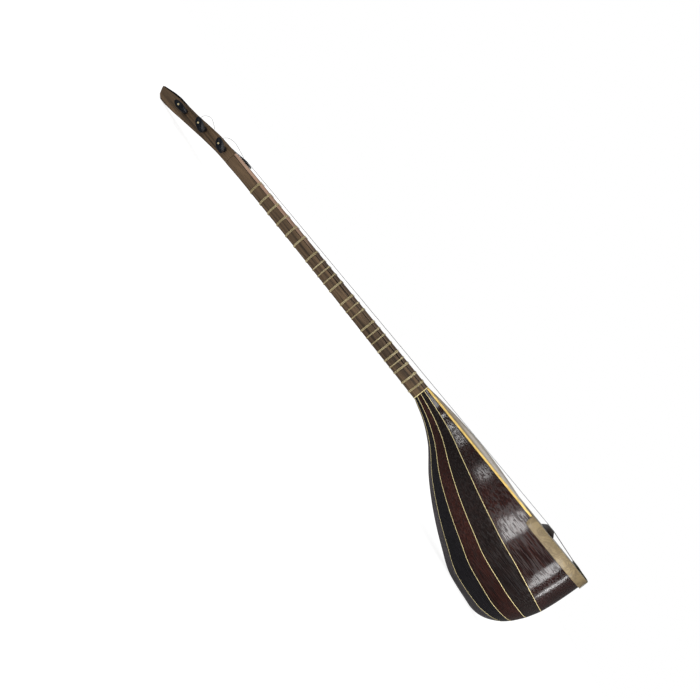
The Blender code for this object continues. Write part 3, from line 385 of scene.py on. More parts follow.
def outward(point):
    step = 0.05 * MM
    slope = []
    for k in range(3):
        shift = Vector((0, 0, 0))
        shift[k] = step
        slope.append(surface_value(point + shift) - surface_value(point - shift))
    return Vector(slope).normalized()


def on_surface(point):
    """The nearest place on the bowl straight out from a point close to it."""
    for _ in range(3):
        square = outward(point)
        step = 0.1 * MM
        rate = (surface_value(point + square * step) - surface_value(point)) / step
        point = point - square * surface_value(point) / rate
    return point


def side_y(x, z):
    left = 1 - tail_share(x) - (max(-z, 0.0) / depth(x)) ** DEPTH_POWER
    return half_width(x) * math.sqrt(max(left, 0.0))


def spine_half_width(x):
    t = min(x / SPINE_FULL_WIDTH_AT, 1.0)
    widen = t * t * (3 - 2 * t)
    return SPINE_HALF_WIDTH_AT_NECK + (SPINE_HALF_WIDTH - SPINE_HALF_WIDTH_AT_NECK) * widen


def bass_line(height_at, fine=240):
    """A fine line on the bass side of the bowl, from the neck back to the spine's edge."""
    low, high = WIDEST_AT, BODY_LENGTH
    for _ in range(50):
        middle = (low + high) / 2
        if side_y(middle, height_at(middle)) > SPINE_HALF_WIDTH:
            low = middle
        else:
            high = middle
    points = []
    for i in range(fine + 1):
        x = low * math.sin(i / fine * math.pi / 2)
        z = height_at(x)
        points.append(Vector((x, -side_y(x, z), z)))
    return points


JOINT_EASING = (-0.12, -0.09, -0.06, -0.03, 0.0, 0.03, 0.06, 0.09, 0.12)


def joint_height(shares):
    """How far below the face a joint runs, eased so that its line bends without a kink."""
    def height_at(x):
        eased = sum(smooth(shares, x / WIDEST_AT + step) for step in JOINT_EASING) / len(JOINT_EASING)
        return -eased * depth(x)
    return height_at


def rim_height(x):
    return -FACE_EDGE_BELOW if x < WOOD_LENGTH - SEAT / 2 else 0.0


def spine_line(fine=300):
    """A fine line along the bass edge of the spine, from the neck round the tail to the rim."""
    points = []
    for i in range(fine):
        x = WIDEST_AT * i / fine
        wide = spine_half_width(x)
        left = 1 - (wide / half_width(x)) ** 2
        points.append(Vector((x, -wide, -depth(x) * left ** (1 / DEPTH_POWER))))
    left = 1 - (SPINE_HALF_WIDTH / BODY_HALF_WIDTH) ** 2
    for i in range(fine + 1):
        turn = i / fine * math.pi / 2
        x = WIDEST_AT + TAIL_LENGTH * (left * math.sin(turn) ** 2) ** (1 / TAIL_POWER)
        z = -BODY_DEPTH * (left * max(math.cos(turn), 0.0) ** 2) ** (1 / DEPTH_POWER)
        points.append(Vector((x, -SPINE_HALF_WIDTH, z)))
    return points


def even_points(points, count):
    """Points at even steps along a fine line of points."""
    lengths = [0.0]
    for a, b in zip(points, points[1:]):
        lengths.append(lengths[-1] + (b - a).length)
    picked = []
    k = 0
    for i in range(count + 1):
        goal = lengths[-1] * i / count
        while k < len(points) - 2 and lengths[k + 1] < goal:
            k += 1
        span = lengths[k + 1] - lengths[k]
        t = (goal - lengths[k]) / span if span > 0 else 0.0
        picked.append(points[k].lerp(points[k + 1], min(max(t, 0.0), 1.0)))
    return picked


# Making pieces

def laid(points, side=1):
    """Points of the bass side as they are, or mirrored for the treble side."""
    return [Vector((p.x, p.y * side, p.z)) for p in points]


def keep(name, mesh, material, body, replaced=(), smooth_angle=40):
    """A finished piece: on its body, with its finish, in place of the nodes that it stands for."""
    piece = bpy.data.objects.new(name, mesh)
    bpy.context.scene.collection.objects.link(piece)
    mesh.materials.clear()
    mesh.materials.append(MATERIALS[material])
    for face in mesh.polygons:
        face.use_smooth = True
        face.material_index = 0
    mesh.set_sharp_from_angle(angle=math.radians(smooth_angle))
    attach(piece, body)
    if replaced:
        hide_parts(*replaced)
    return piece


def finished_mesh(holder):
    """A plain mesh of an object as its modifiers leave it, and the object is taken away."""
    bpy.context.view_layer.update()
    depsgraph = bpy.context.evaluated_depsgraph_get()
    mesh = bpy.data.meshes.new_from_object(holder.evaluated_get(depsgraph))
    mesh.transform(holder.matrix_world)
    bpy.data.objects.remove(holder)
    return mesh


def lofted(rows):
    """A closed skin over rings with as many points each, laid on the frame."""
    made = bmesh.new()
    lines = [[made.verts.new(p) for p in row] for row in rows]
    count = len(lines[0])
    for line, following in zip(lines, lines[1:]):
        for i in range(count):
            j = (i + 1) % count
            made.faces.new((line[i], line[j], following[j], following[i]))
    made.faces.new(list(reversed(lines[0])))
    made.faces.new(lines[-1])
    bmesh.ops.recalc_face_normals(made, faces=made.faces)
    mesh = bpy.data.meshes.new("loft")
    made.to_mesh(mesh)
    made.free()
    mesh.transform(TO_FRAME)
    return mesh


def make_strand_tree():
    """Nodes that sweep a round section along a line of edges, with its ends closed."""
    tree = bpy.data.node_groups.new("round strand", "GeometryNodeTree")
    tree.is_modifier = True
    for name, kind in (("Line", "NodeSocketGeometry"), ("Thickness", "NodeSocketFloat"),
                       ("Sides", "NodeSocketInt"), ("Finish", "NodeSocketMaterial")):
        tree.interface.new_socket(name, in_out="INPUT", socket_type=kind)
    tree.interface.new_socket("Strand", in_out="OUTPUT", socket_type="NodeSocketGeometry")
    sizes = tree.nodes.new("NodeGroupInput")
    half = tree.nodes.new("ShaderNodeMath")
    half.operation = "MULTIPLY"
    half.inputs[1].default_value = 0.5
    section = tree.nodes.new("GeometryNodeCurvePrimitiveCircle")
    route = tree.nodes.new("GeometryNodeMeshToCurve")
    sweep = tree.nodes.new("GeometryNodeCurveToMesh")
    sweep.inputs["Fill Caps"].default_value = True
    real = tree.nodes.new("GeometryNodeRealizeInstances")
    paint = tree.nodes.new("GeometryNodeSetMaterial")
    made = tree.nodes.new("NodeGroupOutput")
    for start, end in (
        (sizes.outputs["Thickness"], half.inputs[0]),
        (half.outputs[0], section.inputs["Radius"]),
        (sizes.outputs["Sides"], section.inputs["Resolution"]),
        (sizes.outputs["Line"], route.inputs["Mesh"]),
        (route.outputs["Curve"], sweep.inputs["Curve"]),
        (section.outputs["Curve"], sweep.inputs["Profile Curve"]),
        (sweep.outputs["Mesh"], real.inputs["Geometry"]),
        (real.outputs["Geometry"], paint.inputs["Geometry"]),
        (sizes.outputs["Finish"], paint.inputs["Material"]),
        (paint.outputs["Geometry"], made.inputs["Strand"]),
    ):
        tree.links.new(start, end)
    return tree


STRAND_TREE = make_strand_tree()


def strand(points, thickness, finish, sides=8):
    """A round wire, gut or inlaid line through points given in the frame's own coordinates."""
    line = bpy.data.meshes.new("line")
    line.from_pydata([tuple(point) for point in points], [(i, i + 1) for i in range(len(points) - 1)], [])
    holder = bpy.data.objects.new("line", line)
    bpy.context.scene.collection.objects.link(holder)
    swept = holder.modifiers.new("round strand", "NODES")
    swept.node_group = STRAND_TREE
    wanted = {"Thickness": thickness, "Sides": sides, "Finish": MATERIALS[finish]}
    for port in STRAND_TREE.interface.items_tree:
        if port.in_out == "INPUT" and port.name in wanted:
            swept[port.identifier] = wanted[port.name]
    return finished_mesh(holder)


def joined(meshes):
    made = bmesh.new()
    for mesh in meshes:
        made.from_mesh(mesh)
    whole = bpy.data.meshes.new("joined")
    made.to_mesh(whole)
    made.free()
    return whole


def softened(node, name, material, slot, round_over, segments, angle):
    """A copy of a node with its edges eased and its surface smooth, in the node's place."""
    made = bmesh.new()
    made.from_mesh(frame["nodes"][node].data)
    bmesh.ops.remove_doubles(made, verts=made.verts, dist=HAIR)
    bmesh.ops.dissolve_limit(
        made, angle_limit=math.radians(0.6), verts=made.verts, edges=made.edges, delimit={"NORMAL"},
    )
    mesh = bpy.data.meshes.new(name)
    made.to_mesh(mesh)
    made.free()
    holder = bpy.data.objects.new(name, mesh)
    bpy.context.scene.collection.objects.link(holder)
    bevel = holder.modifiers.new("eased edges", "BEVEL")
    bevel.width = round_over * MM
    bevel.segments = segments
    bevel.limit_method = "ANGLE"
    bevel.angle_limit = math.radians(angle)
    bevel.use_clamp_overlap = True
    return keep(name, finished_mesh(holder), material, HOME, [node], angle)


# The bowl

RIB_LENGTH_STEPS = 90
RIB_WIDTH_STEPS = 10
RIB_FLATNESS = 0.45
RIB_JOINT = 0.3 * MM
SPINE_SUNK = 0.15 * MM
SPINE_LINE_SUNK = 1.3 * SPINE_SUNK
LINE_HALF_WIDTH = 0.3 * MM
LINE_PROUD = 0.06 * MM
LINE_EDGE_SHARE = 0.4
LINE_DEPTH = 0.8 * MM


def rib_face(upper, lower):
    """Rows of points on a bent rib's outer face, a little flatter than the bowl, between two joints."""
    rows = []
    for a, b in zip(upper, lower):
        over = (b - a).normalized()
        a = a + over * RIB_JOINT / 2
        b = b - over * RIB_JOINT / 2
        row = []
        for k in range(RIB_WIDTH_STEPS + 1):
            chord = a.lerp(b, k / RIB_WIDTH_STEPS)
            crown = on_surface(chord) if 0 < k < RIB_WIDTH_STEPS else chord
            row.append(crown.lerp(chord, RIB_FLATNESS))
        rows.append(row)
    return rows


def level_outward(point):
    """The way out of the bowl at a point, without its sideways part."""
    square = outward(point)
    return Vector((square.x, 0.0, square.z)).normalized()


def rib_sheet(face, side):
    """One bent rib with its thickness."""
    rows = []
    for outer in face:
        inner = []
        for p in reversed(outer):
            flat = p is outer[-1] or abs(p.y) < SPINE_HALF_WIDTH + MM
            inner.append(p - (level_outward(p) if flat else outward(p)) * RIB_THICKNESS)
        rows.append(laid(outer + inner, side))
    return lofted(rows)


def joint_strip(line, side):
    """The pale line let into a joint between two ribs."""
    rows = []
    for i, p in enumerate(line):
        ahead = line[min(i + 1, len(line) - 1)] - line[max(i - 1, 0)]
        square = outward(p)
        across = ahead.normalized().cross(square) * LINE_HALF_WIDTH
        top = square * LINE_PROUD
        edge = top * LINE_EDGE_SHARE
        bottom = square * -LINE_DEPTH
        rows.append(laid([p - across + edge, p + top, p + across + edge,
                          p + across + bottom, p - across + bottom], side))
    return lofted(rows)


def evenly(line):
    """Even points along a line of the bowl, which starts half a joint behind the neck's end."""
    points = even_points(line, RIB_LENGTH_STEPS)
    points[0] = points[0] + Vector((RIB_JOINT / 2, 0, 0))
    return points


def make_side_ribs():
    """The five ribs of each side and the lines between them. The top bass rib's face is given back."""
    lines = [bass_line(rim_height)] + [bass_line(joint_height(joint)) for joint in RIB_JOINTS]
    last_x = lines[-1][-1].x
    lines.append([p for p in spine_line() if p.x < last_x - SPINE_HALF_WIDTH / 3])
    evened = [evenly(line) for line in lines]
    faces = [rib_face(upper, lower) for upper, lower in zip(evened, evened[1:])]
    for side, side_name in ((1, "bass"), (-1, "treble")):
        for number, face in enumerate(faces, start=1):
            node = "rib_%s_%d" % (side_name, number)
            keep("bowl_" + node, rib_sheet(face, side), "rib_%d" % number, HOME, [node])
        strips = [joint_strip(line, side) for line in evened[1:-1]]
        keep("joint_lines_" + side_name, joined(strips), "line", HOME)
    return faces[0]


def make_middle_rib():
    """The narrow rib along the middle, and the line on each side of it."""
    edge = evenly(spine_line())
    rows = []
    for p in edge:
        outer = Vector((p.x, p.y + RIB_JOINT / 2, p.z))
        level = level_outward(outer)
        outer = outer - level * SPINE_SUNK
        inner = outer - level * RIB_THICKNESS
        ridge = [Vector((outer.x, outer.y * share, outer.z)) for share in (1, 0.5, 0, -0.5, -1)]
        rows.append(ridge + [Vector((inner.x, -inner.y, inner.z)), inner])
    keep("bowl_rib_middle", lofted(rows), "rib_4", HOME, ["rib_middle"])
    sunk = [p - outward(p) * SPINE_LINE_SUNK for p in edge]
    strips = [joint_strip(sunk, side) for side in (1, -1)]
    keep("spine_lines", joined(strips), "line", HOME)


# The neck, and the ring round it that the frets are wound on

NECK_DEPTHS = [(-418 * MM, 20.9 * MM), (NUT_AT, 20.2 * MM), (-300 * MM, 20.6 * MM), (-130 * MM, 22.9 * MM),
               (0.0, NECK_DEPTH_AT_HEEL)]
NECK_ROUNDNESS = 0.8
NECK_STEPS = 40
UNDER_BOARD = -FINGERBOARD_THICKNESS - SEAT

# The dark line under the fingerboard: how thick, how far in from the neck's side, and its ends
GLUE_LINE = 1.2 * MM
GLUE_LINE_INSET = 0.3 * MM
GLUE_LINE_FROM = NUT_AT - 22 * MM
GLUE_LINE_TO = -2 * MM

# The pale line at the heel: places along the neck, and how far it stands proud there
HEEL_LINE = [(-1.5 * MM, 0.02 * MM), (-1.35 * MM, 0.22 * MM), (-0.55 * MM, 0.22 * MM), (-0.4 * MM, 0.02 * MM)]


def neck_half_width(x):
    share = min(max((x - NUT_AT) / -NUT_AT, 0.0), 1.0)
    return (NECK_WIDTH_AT_NUT + (NECK_WIDTH_AT_HEEL - NECK_WIDTH_AT_NUT) * share) / 2


def neck_outline(x, spread, steps):
    """Even points round the neck, moved out by spread: flat front, straight sides, round back."""
    half = neck_half_width(x) + spread
    back = -smooth(NECK_DEPTHS, x) - spread
    corner = NECK_EDGE + spread
    shape = [Vector((0, half, UNDER_BOARD))]
    for k in range(1, 16):
        turn = math.pi * k / 16
        across = math.copysign(abs(math.cos(turn)) ** NECK_ROUNDNESS, math.cos(turn))
        down = (UNDER_BOARD - back) * math.sin(turn) ** NECK_ROUNDNESS
        shape.append(Vector((0, half * across, UNDER_BOARD - down)))
    shape.append(Vector((0, -half, UNDER_BOARD)))
    bends = [(corner * (1 - math.cos(turn)), spread - corner * (1 - math.sin(turn)))
             for turn in (math.pi / 2 * k / 3 for k in range(4))]
    shape += [Vector((0, inwards - half, height)) for inwards, height in bends]
    shape += [Vector((0, half - inwards, height)) for inwards, height in reversed(bends)]
    return even_points(shape + [shape[0]], steps)[:-1]


def make_neck():
    """The neck's shaft: round-backed, deepening towards the bowl, with a pale line at the joint."""
    rings = []
    places = [NUT_AT - NECK_PAST_NUT + SEAT / 3]
    places += [NUT_AT * (1 - k / NECK_STEPS) for k in range(NECK_STEPS)] + [-SEAT]
    for x in places:
        shaft = [p for p in neck_outline(x, 0.0, 96) if p.z <= UNDER_BOARD + HAIR]
        rings.append([Vector((x, p.y, p.z)) for p in shaft])
    least = min(len(ring) for ring in rings)
    rings = [even_points(ring, least) for ring in rings]
    keep("shaped_neck", lofted(rings), "walnut", HOME, ["neck_shaft"], 50)
    glue = []
    for side in (-1, 1):
        line = []
        for k in range(NECK_STEPS + 1):
            x = GLUE_LINE_FROM + (GLUE_LINE_TO - GLUE_LINE_FROM) * k / NECK_STEPS
            y = side * (neck_half_width(x) - GLUE_LINE_INSET)
            line.append(TO_FRAME @ Vector((x, y, -FINGERBOARD_THICKNESS - SEAT / 2)))
        glue.append(strand(line, GLUE_LINE, "groove", 6))
    keep("dark_glue_lines", joined(glue), "groove", HOME)
    rings = [[Vector((x, p.y, p.z)) for p in neck_outline(x, proud, 60)] for x, proud in HEEL_LINE]
    keep("heel_line", lofted(rings), "line", HOME)


# Frets

FRET_STEPS = 30
FRET_OFF_NECK = SEAT + 0.12 * MM
KNOT_GUT = 1.1 * FRET_GUT
KNOT_BELOW_FRONT = 3.2 * MM
KNOT_REACH_PAST_TURNS = 0.5 * MM
KNOT_OFF_TURNS = 0.25 * MM
KNOT_SWELL = 0.45 * MM
KNOT_WAVE = 0.5 * MM
KNOT_STEPS = 12

# How much a knot's height counts against how far out it lies, when its place is picked
KNOT_HEIGHT_COUNTS = 0.35


def make_frets():
    """Each fret is one gut, wound round the neck and knotted on the bass side's upper edge."""
    for number, cents in enumerate(FRET_CENTS, start=1):
        x = NUT_AT + SCALE_LENGTH * (1 - 2 ** (-cents / 1200))
        turns = 2 if number in THIN_FRETS else 3
        ring = neck_outline(x, FRET_OFF_NECK + FRET_GUT / 2, FRET_STEPS)
        points = []
        for k in range(turns * FRET_STEPS):
            along = (k / FRET_STEPS - turns / 2) * FRET_PITCH
            at = ring[k % FRET_STEPS]
            points.append(TO_FRAME @ Vector((x + along, at.y, at.z)))
        meshes = [strand(points, FRET_GUT, "gut"), fret_knot(x, ring, turns)]
        name = "fret_%02d" % number
        keep("tied_" + name, joined(meshes), "gut", name + "_body", [name], 60)


def fret_knot(x, ring, turns):
    """A small flat knot that crosses the turns on the side of the neck."""
    side = min(ring, key=lambda p: p.y + KNOT_HEIGHT_COUNTS * abs(p.z + KNOT_BELOW_FRONT))
    reach = turns * FRET_PITCH / 2 + KNOT_REACH_PAST_TURNS
    points = []
    for k in range(KNOT_STEPS + 1):
        t = k / KNOT_STEPS
        out = KNOT_OFF_TURNS + KNOT_SWELL * math.sin(math.pi * t)
        up = KNOT_WAVE * math.sin(3 * math.pi * t)
        points.append(TO_FRAME @ Vector((x + reach * (2 * t - 1), side.y - out, side.z + up)))
    return strand(points, KNOT_GUT, "gut")


# Strings

COURSE_AT_NUT = 7.0 * MM
COURSE_AT_BRIDGE = 13.5 * MM
PAIR_AT_NUT = 2.2 * MM
PAIR_AT_BRIDGE = 3.0 * MM
BRIDGE_HEIGHT = 7.0 * MM
BRIDGE_TOP_WIDTH = 3.6 * MM
HOLDER_LENGTH = 24 * MM
HOLDER_HEIGHT = 2.8 * MM

# Where the strings end on the holder: how far up it, and how far apart against at the bridge
HOLDER_SHARE_UP = 0.6
HOLDER_SHARE_APART = 0.85

# The nut's rounded top: how far along it from its face, and how high, as shares
NUT_OUTLINE = [(1.0, 0.12), (0.9, 0.36), (0.62, 0.78), (0.34, 1.0), (0.12, 0.96), (0.0, 0.72)]
STRING_PEGS = ["peg_bass_3", "peg_bass_2", "peg_bass_1", "peg_treble_1", "peg_treble_2", "peg_treble_3"]
COIL_PLACES = [-6.0 * MM, -4.4 * MM, -1.6 * MM, 1.6 * MM, 4.4 * MM, 6.0 * MM]
COIL_OFF_PEG = SEAT + 0.15 * MM
POINTS_A_TURN = 24


def peg_centre(name):
    joint = next(joint for joint in frame["joints"] if joint["name"] == name + "_turn")
    return FROM_FRAME @ Vector(joint["pos_m"])


def taut_route(points):
    """Only the supports that a taut string presses on."""
    route = list(points)
    k = 1
    while k < len(route) - 1:
        a, b, c = route[k - 1], route[k], route[k + 1]
        if b.z < a.z + (c.z - a.z) * (b.x - a.x) / (c.x - a.x):
            del route[k]
            k = max(k - 1, 1)
        else:
            k += 1
    return route


def string_points(number):
    """A string's route: its turns round the peg, then over nut and bridge to the holder."""
    course, half = divmod(number, 2)
    at_nut = (course - 1) * COURSE_AT_NUT + (half - 0.5) * PAIR_AT_NUT
    at_bridge = (course - 1) * COURSE_AT_BRIDGE + (half - 0.5) * PAIR_AT_BRIDGE
    centre = peg_centre(STRING_PEGS[number])
    radius = PEG_SHAFT_RADIUS + COIL_OFF_PEG + STRING_DIAMETER / 2
    lift = SEAT + STRING_DIAMETER / 2
    bridge_top = SKIN_TOP + SEAT + BRIDGE_HEIGHT + lift
    supports = [Vector((centre.x, 0, centre.z + radius))]
    supports += [Vector((NUT_AT - s * NUT_LENGTH, 0, SEAT + h * NUT_HEIGHT + lift)) for s, h in NUT_OUTLINE]
    supports += [Vector((BRIDGE_AT + k * BRIDGE_TOP_WIDTH / 2, 0, bridge_top)) for k in (-1, 1)]
    holder_front = BODY_LENGTH + SKIN_TOP - HOLDER_LENGTH
    supports += [Vector((holder_front - SEAT, 0, SKIN_TOP + SEAT + HOLDER_HEIGHT * HOLDER_SHARE_UP))]
    route = taut_route(supports)
    slope = (route[1].z - route[0].z) / (route[1].x - route[0].x)
    last_turn = math.pi / 2 + math.atan(slope)
    coil_y = COIL_PLACES[number]
    drift = math.copysign(STRING_TURN_PITCH, coil_y)
    count = STRING_TURNS * POINTS_A_TURN
    points = []
    for k in range(count + 1):
        back = (count - k) / POINTS_A_TURN
        turn = last_turn + 2 * math.pi * back
        points.append(Vector((
            centre.x + radius * math.cos(turn), coil_y + drift * (back - STRING_TURNS / 2),
            centre.z + radius * math.sin(turn),
        )))
    leave = points[-1].copy()
    for at in route[1:]:
        if at.x < BRIDGE_AT - BRIDGE_TOP_WIDTH:
            along = min((at.x - leave.x) / (NUT_AT - leave.x), 1.0)
            points.append(Vector((at.x, leave.y + (at_nut - leave.y) * along, at.z)))
        else:
            points.append(Vector((at.x, at_bridge, at.z)))
    points[-1].y = at_bridge * HOLDER_SHARE_APART
    return points


def make_strings():
    for number in range(len(STRING_PEGS)):
        points = [TO_FRAME @ p for p in string_points(number)]
        name = "string_%d" % (number + 1)
        keep("wire_" + name, strand(points, STRING_DIAMETER, "steel"), "steel", HOME, [name], 60)


# Loose ends of two strings, which spring out of the pegbox: along, up and across from the peg's
# centre, in mm, as they lie on the instrument in the photograph
LOOSE_END = 0.5 * MM
LOOSE_ENDS = {
    "peg_bass_2": [(-6, -2, -3), (-14, 0, -3), (-18.5, 6, -3), (-18.3, 10, -4), (-15.8, 13.5, -4),
                   (-11.7, 16, -5), (-7.5, 17, -5), (0, 14.5, -6), (7, 10.5, -6)],
    "peg_bass_3": [(-4, -2, -3), (-11, 1, -3), (-15, 6, -3), (-15, 9, -4), (-13.2, 11.5, -4),
                   (-10.1, 14.4, -5), (-4.5, 16.4, -5), (2.3, 17.4, -6), (14.1, 15.5, -6), (25, 13.4, -6)],
}


def curve_through(points, steps):
    """A smooth line through a few points."""
    line = []
    for i in range(len(points) - 1):
        before = points[max(i - 1, 0)]
        a = points[i]
        b = points[i + 1]
        after = points[min(i + 2, len(points) - 1)]
        for k in range(steps):
            t = k / steps
            bend = 2 * a + (b - before) * t + (2 * before - 5 * a + 4 * b - after) * t * t
            line.append((bend + (3 * a - before - 3 * b + after) * t ** 3) / 2)
    line.append(points[-1])
    return line


def make_loose_ends():
    for name, route in LOOSE_ENDS.items():
        centre = peg_centre(name)
        points = [centre + Vector((along, across, up)) * MM for along, up, across in route]
        line = [TO_FRAME @ p for p in curve_through(points, 10)]
        keep("loose_end_" + name, strand(line, LOOSE_END, "steel", 6), "steel", HOME)


# Pegs and their pale ends

# How far out of the head, as a share of the reach, and half the width and thickness there in mm
PEG_SHAPE = [(-0.4, 3.2, 3.2), (-0.008, 3.2, 3.2), (0.0, 3.5, 3.5), (0.05, 3.6, 3.6), (0.075, 3.3, 3.3),
             (0.10, 2.6, 2.6), (0.25, 2.9, 2.8), (0.36, 5.4, 3.3), (0.50, 9.2, 3.9), (0.66, 10.5, 4.3),
             (0.82, 9.8, 4.5), (0.92, 8.2, 4.4), (0.965, 6.2, 3.7), (1.0, 3.2, 1.9)]
PEG_STATIONS = [-0.4, -0.012, -0.008] + [k / 60 for k in range(58)] + [0.965, 0.98, 0.992, 1.0]
PEG_TURNED = {"peg_bass_1": 0, "peg_bass_2": 31, "peg_bass_3": 36, "peg_treble_1": 6, "peg_treble_2": -8,
              "peg_treble_3": 4}
PEG_SIDES = 28
HALF_HEAD = 14.5 * MM
PEG_REACH = 46 * MM

# How far past the end of the peg, and the radius there, in mm
PIP_SHAPE = [(-0.9, 1.3), (0.0, 1.4), (0.5, 1.2), (0.8, 0.8), (0.92, 0.25)]
PIP_SIDES = 18
PIP_SUNK = 0.1 * MM


def oval(centre, out, across, through, turned, count):
    """An oval ring round a peg's axis, its long way turned about the axis."""
    ring = []
    for k in range(count):
        turn = 2 * math.pi * k / count
        a = across * MM * math.cos(turn)
        b = through * MM * math.sin(turn)
        ring.append(Vector((
            centre.x + a * math.cos(turned) + b * math.sin(turned), out,
            centre.z - a * math.sin(turned) + b * math.cos(turned),
        )))
    return ring


def make_pegs():
    across = [(share, wide) for share, wide, _ in PEG_SHAPE]
    through = [(share, thick) for share, _, thick in PEG_SHAPE]
    for name, degrees in PEG_TURNED.items():
        sign = -1 if "bass" in name else 1
        centre = peg_centre(name)
        turned = math.radians(degrees)
        rings = []
        for share in PEG_STATIONS:
            out = sign * (HALF_HEAD + SEAT + share * PEG_REACH)
            rings.append(oval(centre, out, smooth(across, share), smooth(through, share), turned, PEG_SIDES))
        keep("turned_" + name, lofted(rings), "peg", name + "_body", [name], 50)
        tip = HALF_HEAD + SEAT + PEG_REACH - PIP_SUNK
        rings = [oval(centre, sign * (tip + out * MM), wide, wide, 0, PIP_SIDES) for out, wide in PIP_SHAPE]
        keep("pip_" + name, lofted(rings), "pip", name + "_body")


# The rest of the wood and the face: node, piece, finish and slot, how far its edges are rounded in
# mm, in how many steps, and the least angle in degrees that counts as an edge
FITTINGS = [
    ("head", "carved_head", "walnut", "walnut", 0.5, 3, 35),
    ("fingerboard", "planed_fingerboard", "facing", "fingerboard", 0.15, 2, 50),
    ("head_cap", "polished_cap", "ebony", "ebony", 0.2, 2, 35),
    ("nut", "shaped_nut", "ebony", "ebony", 0.4, 3, 20),
    ("soundboard", "arched_soundboard", "soundboard", "soundboard", 0.1, 2, 50),
    ("binding_bass", "yellow_binding_bass", "binding", "binding", 0.3, 3, 35),
    ("binding_treble", "yellow_binding_treble", "binding", "binding", 0.3, 3, 35),
    ("skin", "stretched_skin", "skin", "skin", 0.5, 3, 35),
    ("bridge", "shaped_bridge", "bridge", "bridge", 0.4, 3, 35),
    ("string_holder", "horn_string_holder", "horn", "horn", 0.3, 3, 35),
    ("crossbar", "hidden_crossbar", "spruce", "spruce", 0.3, 1, 35),
    ("neck_block", "hidden_neck_block", "spruce", "spruce", 0.3, 1, 35),
    ("tail_block", "hidden_tail_block", "spruce", "spruce", 0.3, 1, 35),
]

# How much higher the soundboard's arch stands than the plain solid's
BOARD_ARCH = 3.0 * MM
BOARD_ARCH_FULLNESS = 0.7


def raise_arch(board):
    for point in board.data.vertices:
        at = FROM_FRAME @ point.co
        along = min(max(at.x / WOOD_LENGTH, 0.0), 1.0)
        across = min(abs(at.y) / half_width(at.x), 1.0)
        at.z += BOARD_ARCH * math.sin(math.pi * along) ** BOARD_ARCH_FULLNESS * (1 - across ** 2)
        point.co = TO_FRAME @ at


def make_fittings():
    pieces = {fitting[0]: softened(*fitting) for fitting in FITTINGS}
    raise_arch(pieces["soundboard"])


# The floor and the room

# How bright the floor and the room are in what the lacquer and the wires mirror, and how bright the
# room is on everything else that the camera doesn't look at straight
MIRRORED_ROOM = 0.11
ROOM_ON_THE_REST = 0.5

FLOOR_SIZE = 14.0
FLOOR_BELOW = 0.2 * MM
FLOOR_GLOW = 0.86


def make_floor():
    mesh = bpy.data.meshes.new("floor")
    made = bmesh.new()
    bmesh.ops.create_grid(made, x_segments=1, y_segments=1, size=FLOOR_SIZE / 2)
    made.to_mesh(mesh)
    made.free()
    mesh.transform(Matrix.Translation((0, 0, -FLOOR_BELOW)))
    floor = bpy.data.objects.new("pale_floor", mesh)
    bpy.context.scene.collection.objects.link(floor)
    paint = Finish("pale floor")
    cloud = paint.noise((3, 3, 3), 2.0, 0.5, turn=False)
    paint.set(Base_Color=paint.ramp(cloud, [(0.0, 0.34), (1.0, 0.36)]), Roughness=1.0,
              Emission_Color=(1, 1, 1, 1), Specular_IOR_Level=0.0, Emission_Strength=FLOOR_GLOW)
    rays = paint.node("ShaderNodeLightPath", output="Is Glossy Ray")
    mirrored = paint.node("ShaderNodeEmission", None, {"Strength": MIRRORED_ROOM})
    seen = Channel(paint, paint.shader.outputs[0])
    both = paint.node("ShaderNodeMixShader", None, {0: rays, 1: seen, 2: mirrored})
    paint.feed(paint.tree.nodes["Material Output"].inputs["Surface"], both)
    mesh.materials.append(paint.material)


def make_world():
    """White where the camera looks, and a dim room in what the lacquer and the wires mirror."""
    world = bpy.data.worlds.new("studio")
    bpy.context.scene.world = world
    world.use_nodes = True
    sky = Nodes(world.node_tree)
    ground = sky.tree.nodes["Background"]
    ground.inputs["Color"].default_value = (1, 1, 1, 1)
    seen = sky.node("ShaderNodeLightPath", output="Is Camera Ray")
    through = sky.node("ShaderNodeLightPath", output="Is Transmission Ray")
    glossy = sky.node("ShaderNodeLightPath", output="Is Glossy Ray")
    dim = (1 - glossy) * ROOM_ON_THE_REST + glossy * MIRRORED_ROOM
    white = seen + through
    sky.feed(ground.inputs["Strength"], white + (1 - white) * dim)


# The camera, where it was found to stand when its view was fitted to the photograph

CAMERA_AT = Vector((0.02166, -1.45498, 0.11274))
CAMERA_RIGHT = Vector((0.52001, 0.04792, 0.85281))
CAMERA_UP = Vector((-0.85405, 0.01349, 0.52001))
FOCAL_PIXELS = 1051.0
FRAME_PIXELS = 700
SENSOR = 36.0


def make_camera():
    data = bpy.data.cameras.new("photographer")
    data.sensor_width = SENSOR
    data.lens = FOCAL_PIXELS / FRAME_PIXELS * SENSOR
    data.clip_start = 0.01
    camera = bpy.data.objects.new("photographer", data)
    back = CAMERA_RIGHT.cross(CAMERA_UP)
    turned = Matrix((CAMERA_RIGHT, CAMERA_UP, back)).transposed().to_4x4()
    camera.matrix_world = Matrix.Translation(CAMERA_AT) @ turned
    bpy.context.scene.collection.objects.link(camera)
    bpy.context.scene.camera = camera


# Lamps

# Soft windows: name, place, what they are turned to, width and height in metres, and watts
WINDOWS = [
    ("head window", (-1.5, -1.6, 1.6), (-0.1, 0, 0.05), (0.9, 0.9), 14),
    ("far window", (0.6, 1.6, 1.4), (0.1, 0, 0.1), (1.2, 1.2), 8),
    ("low far window", (0.25, 2.4, 0.3), (0.2, 0, 0.1), (1.8, 0.5), 1.6),
]

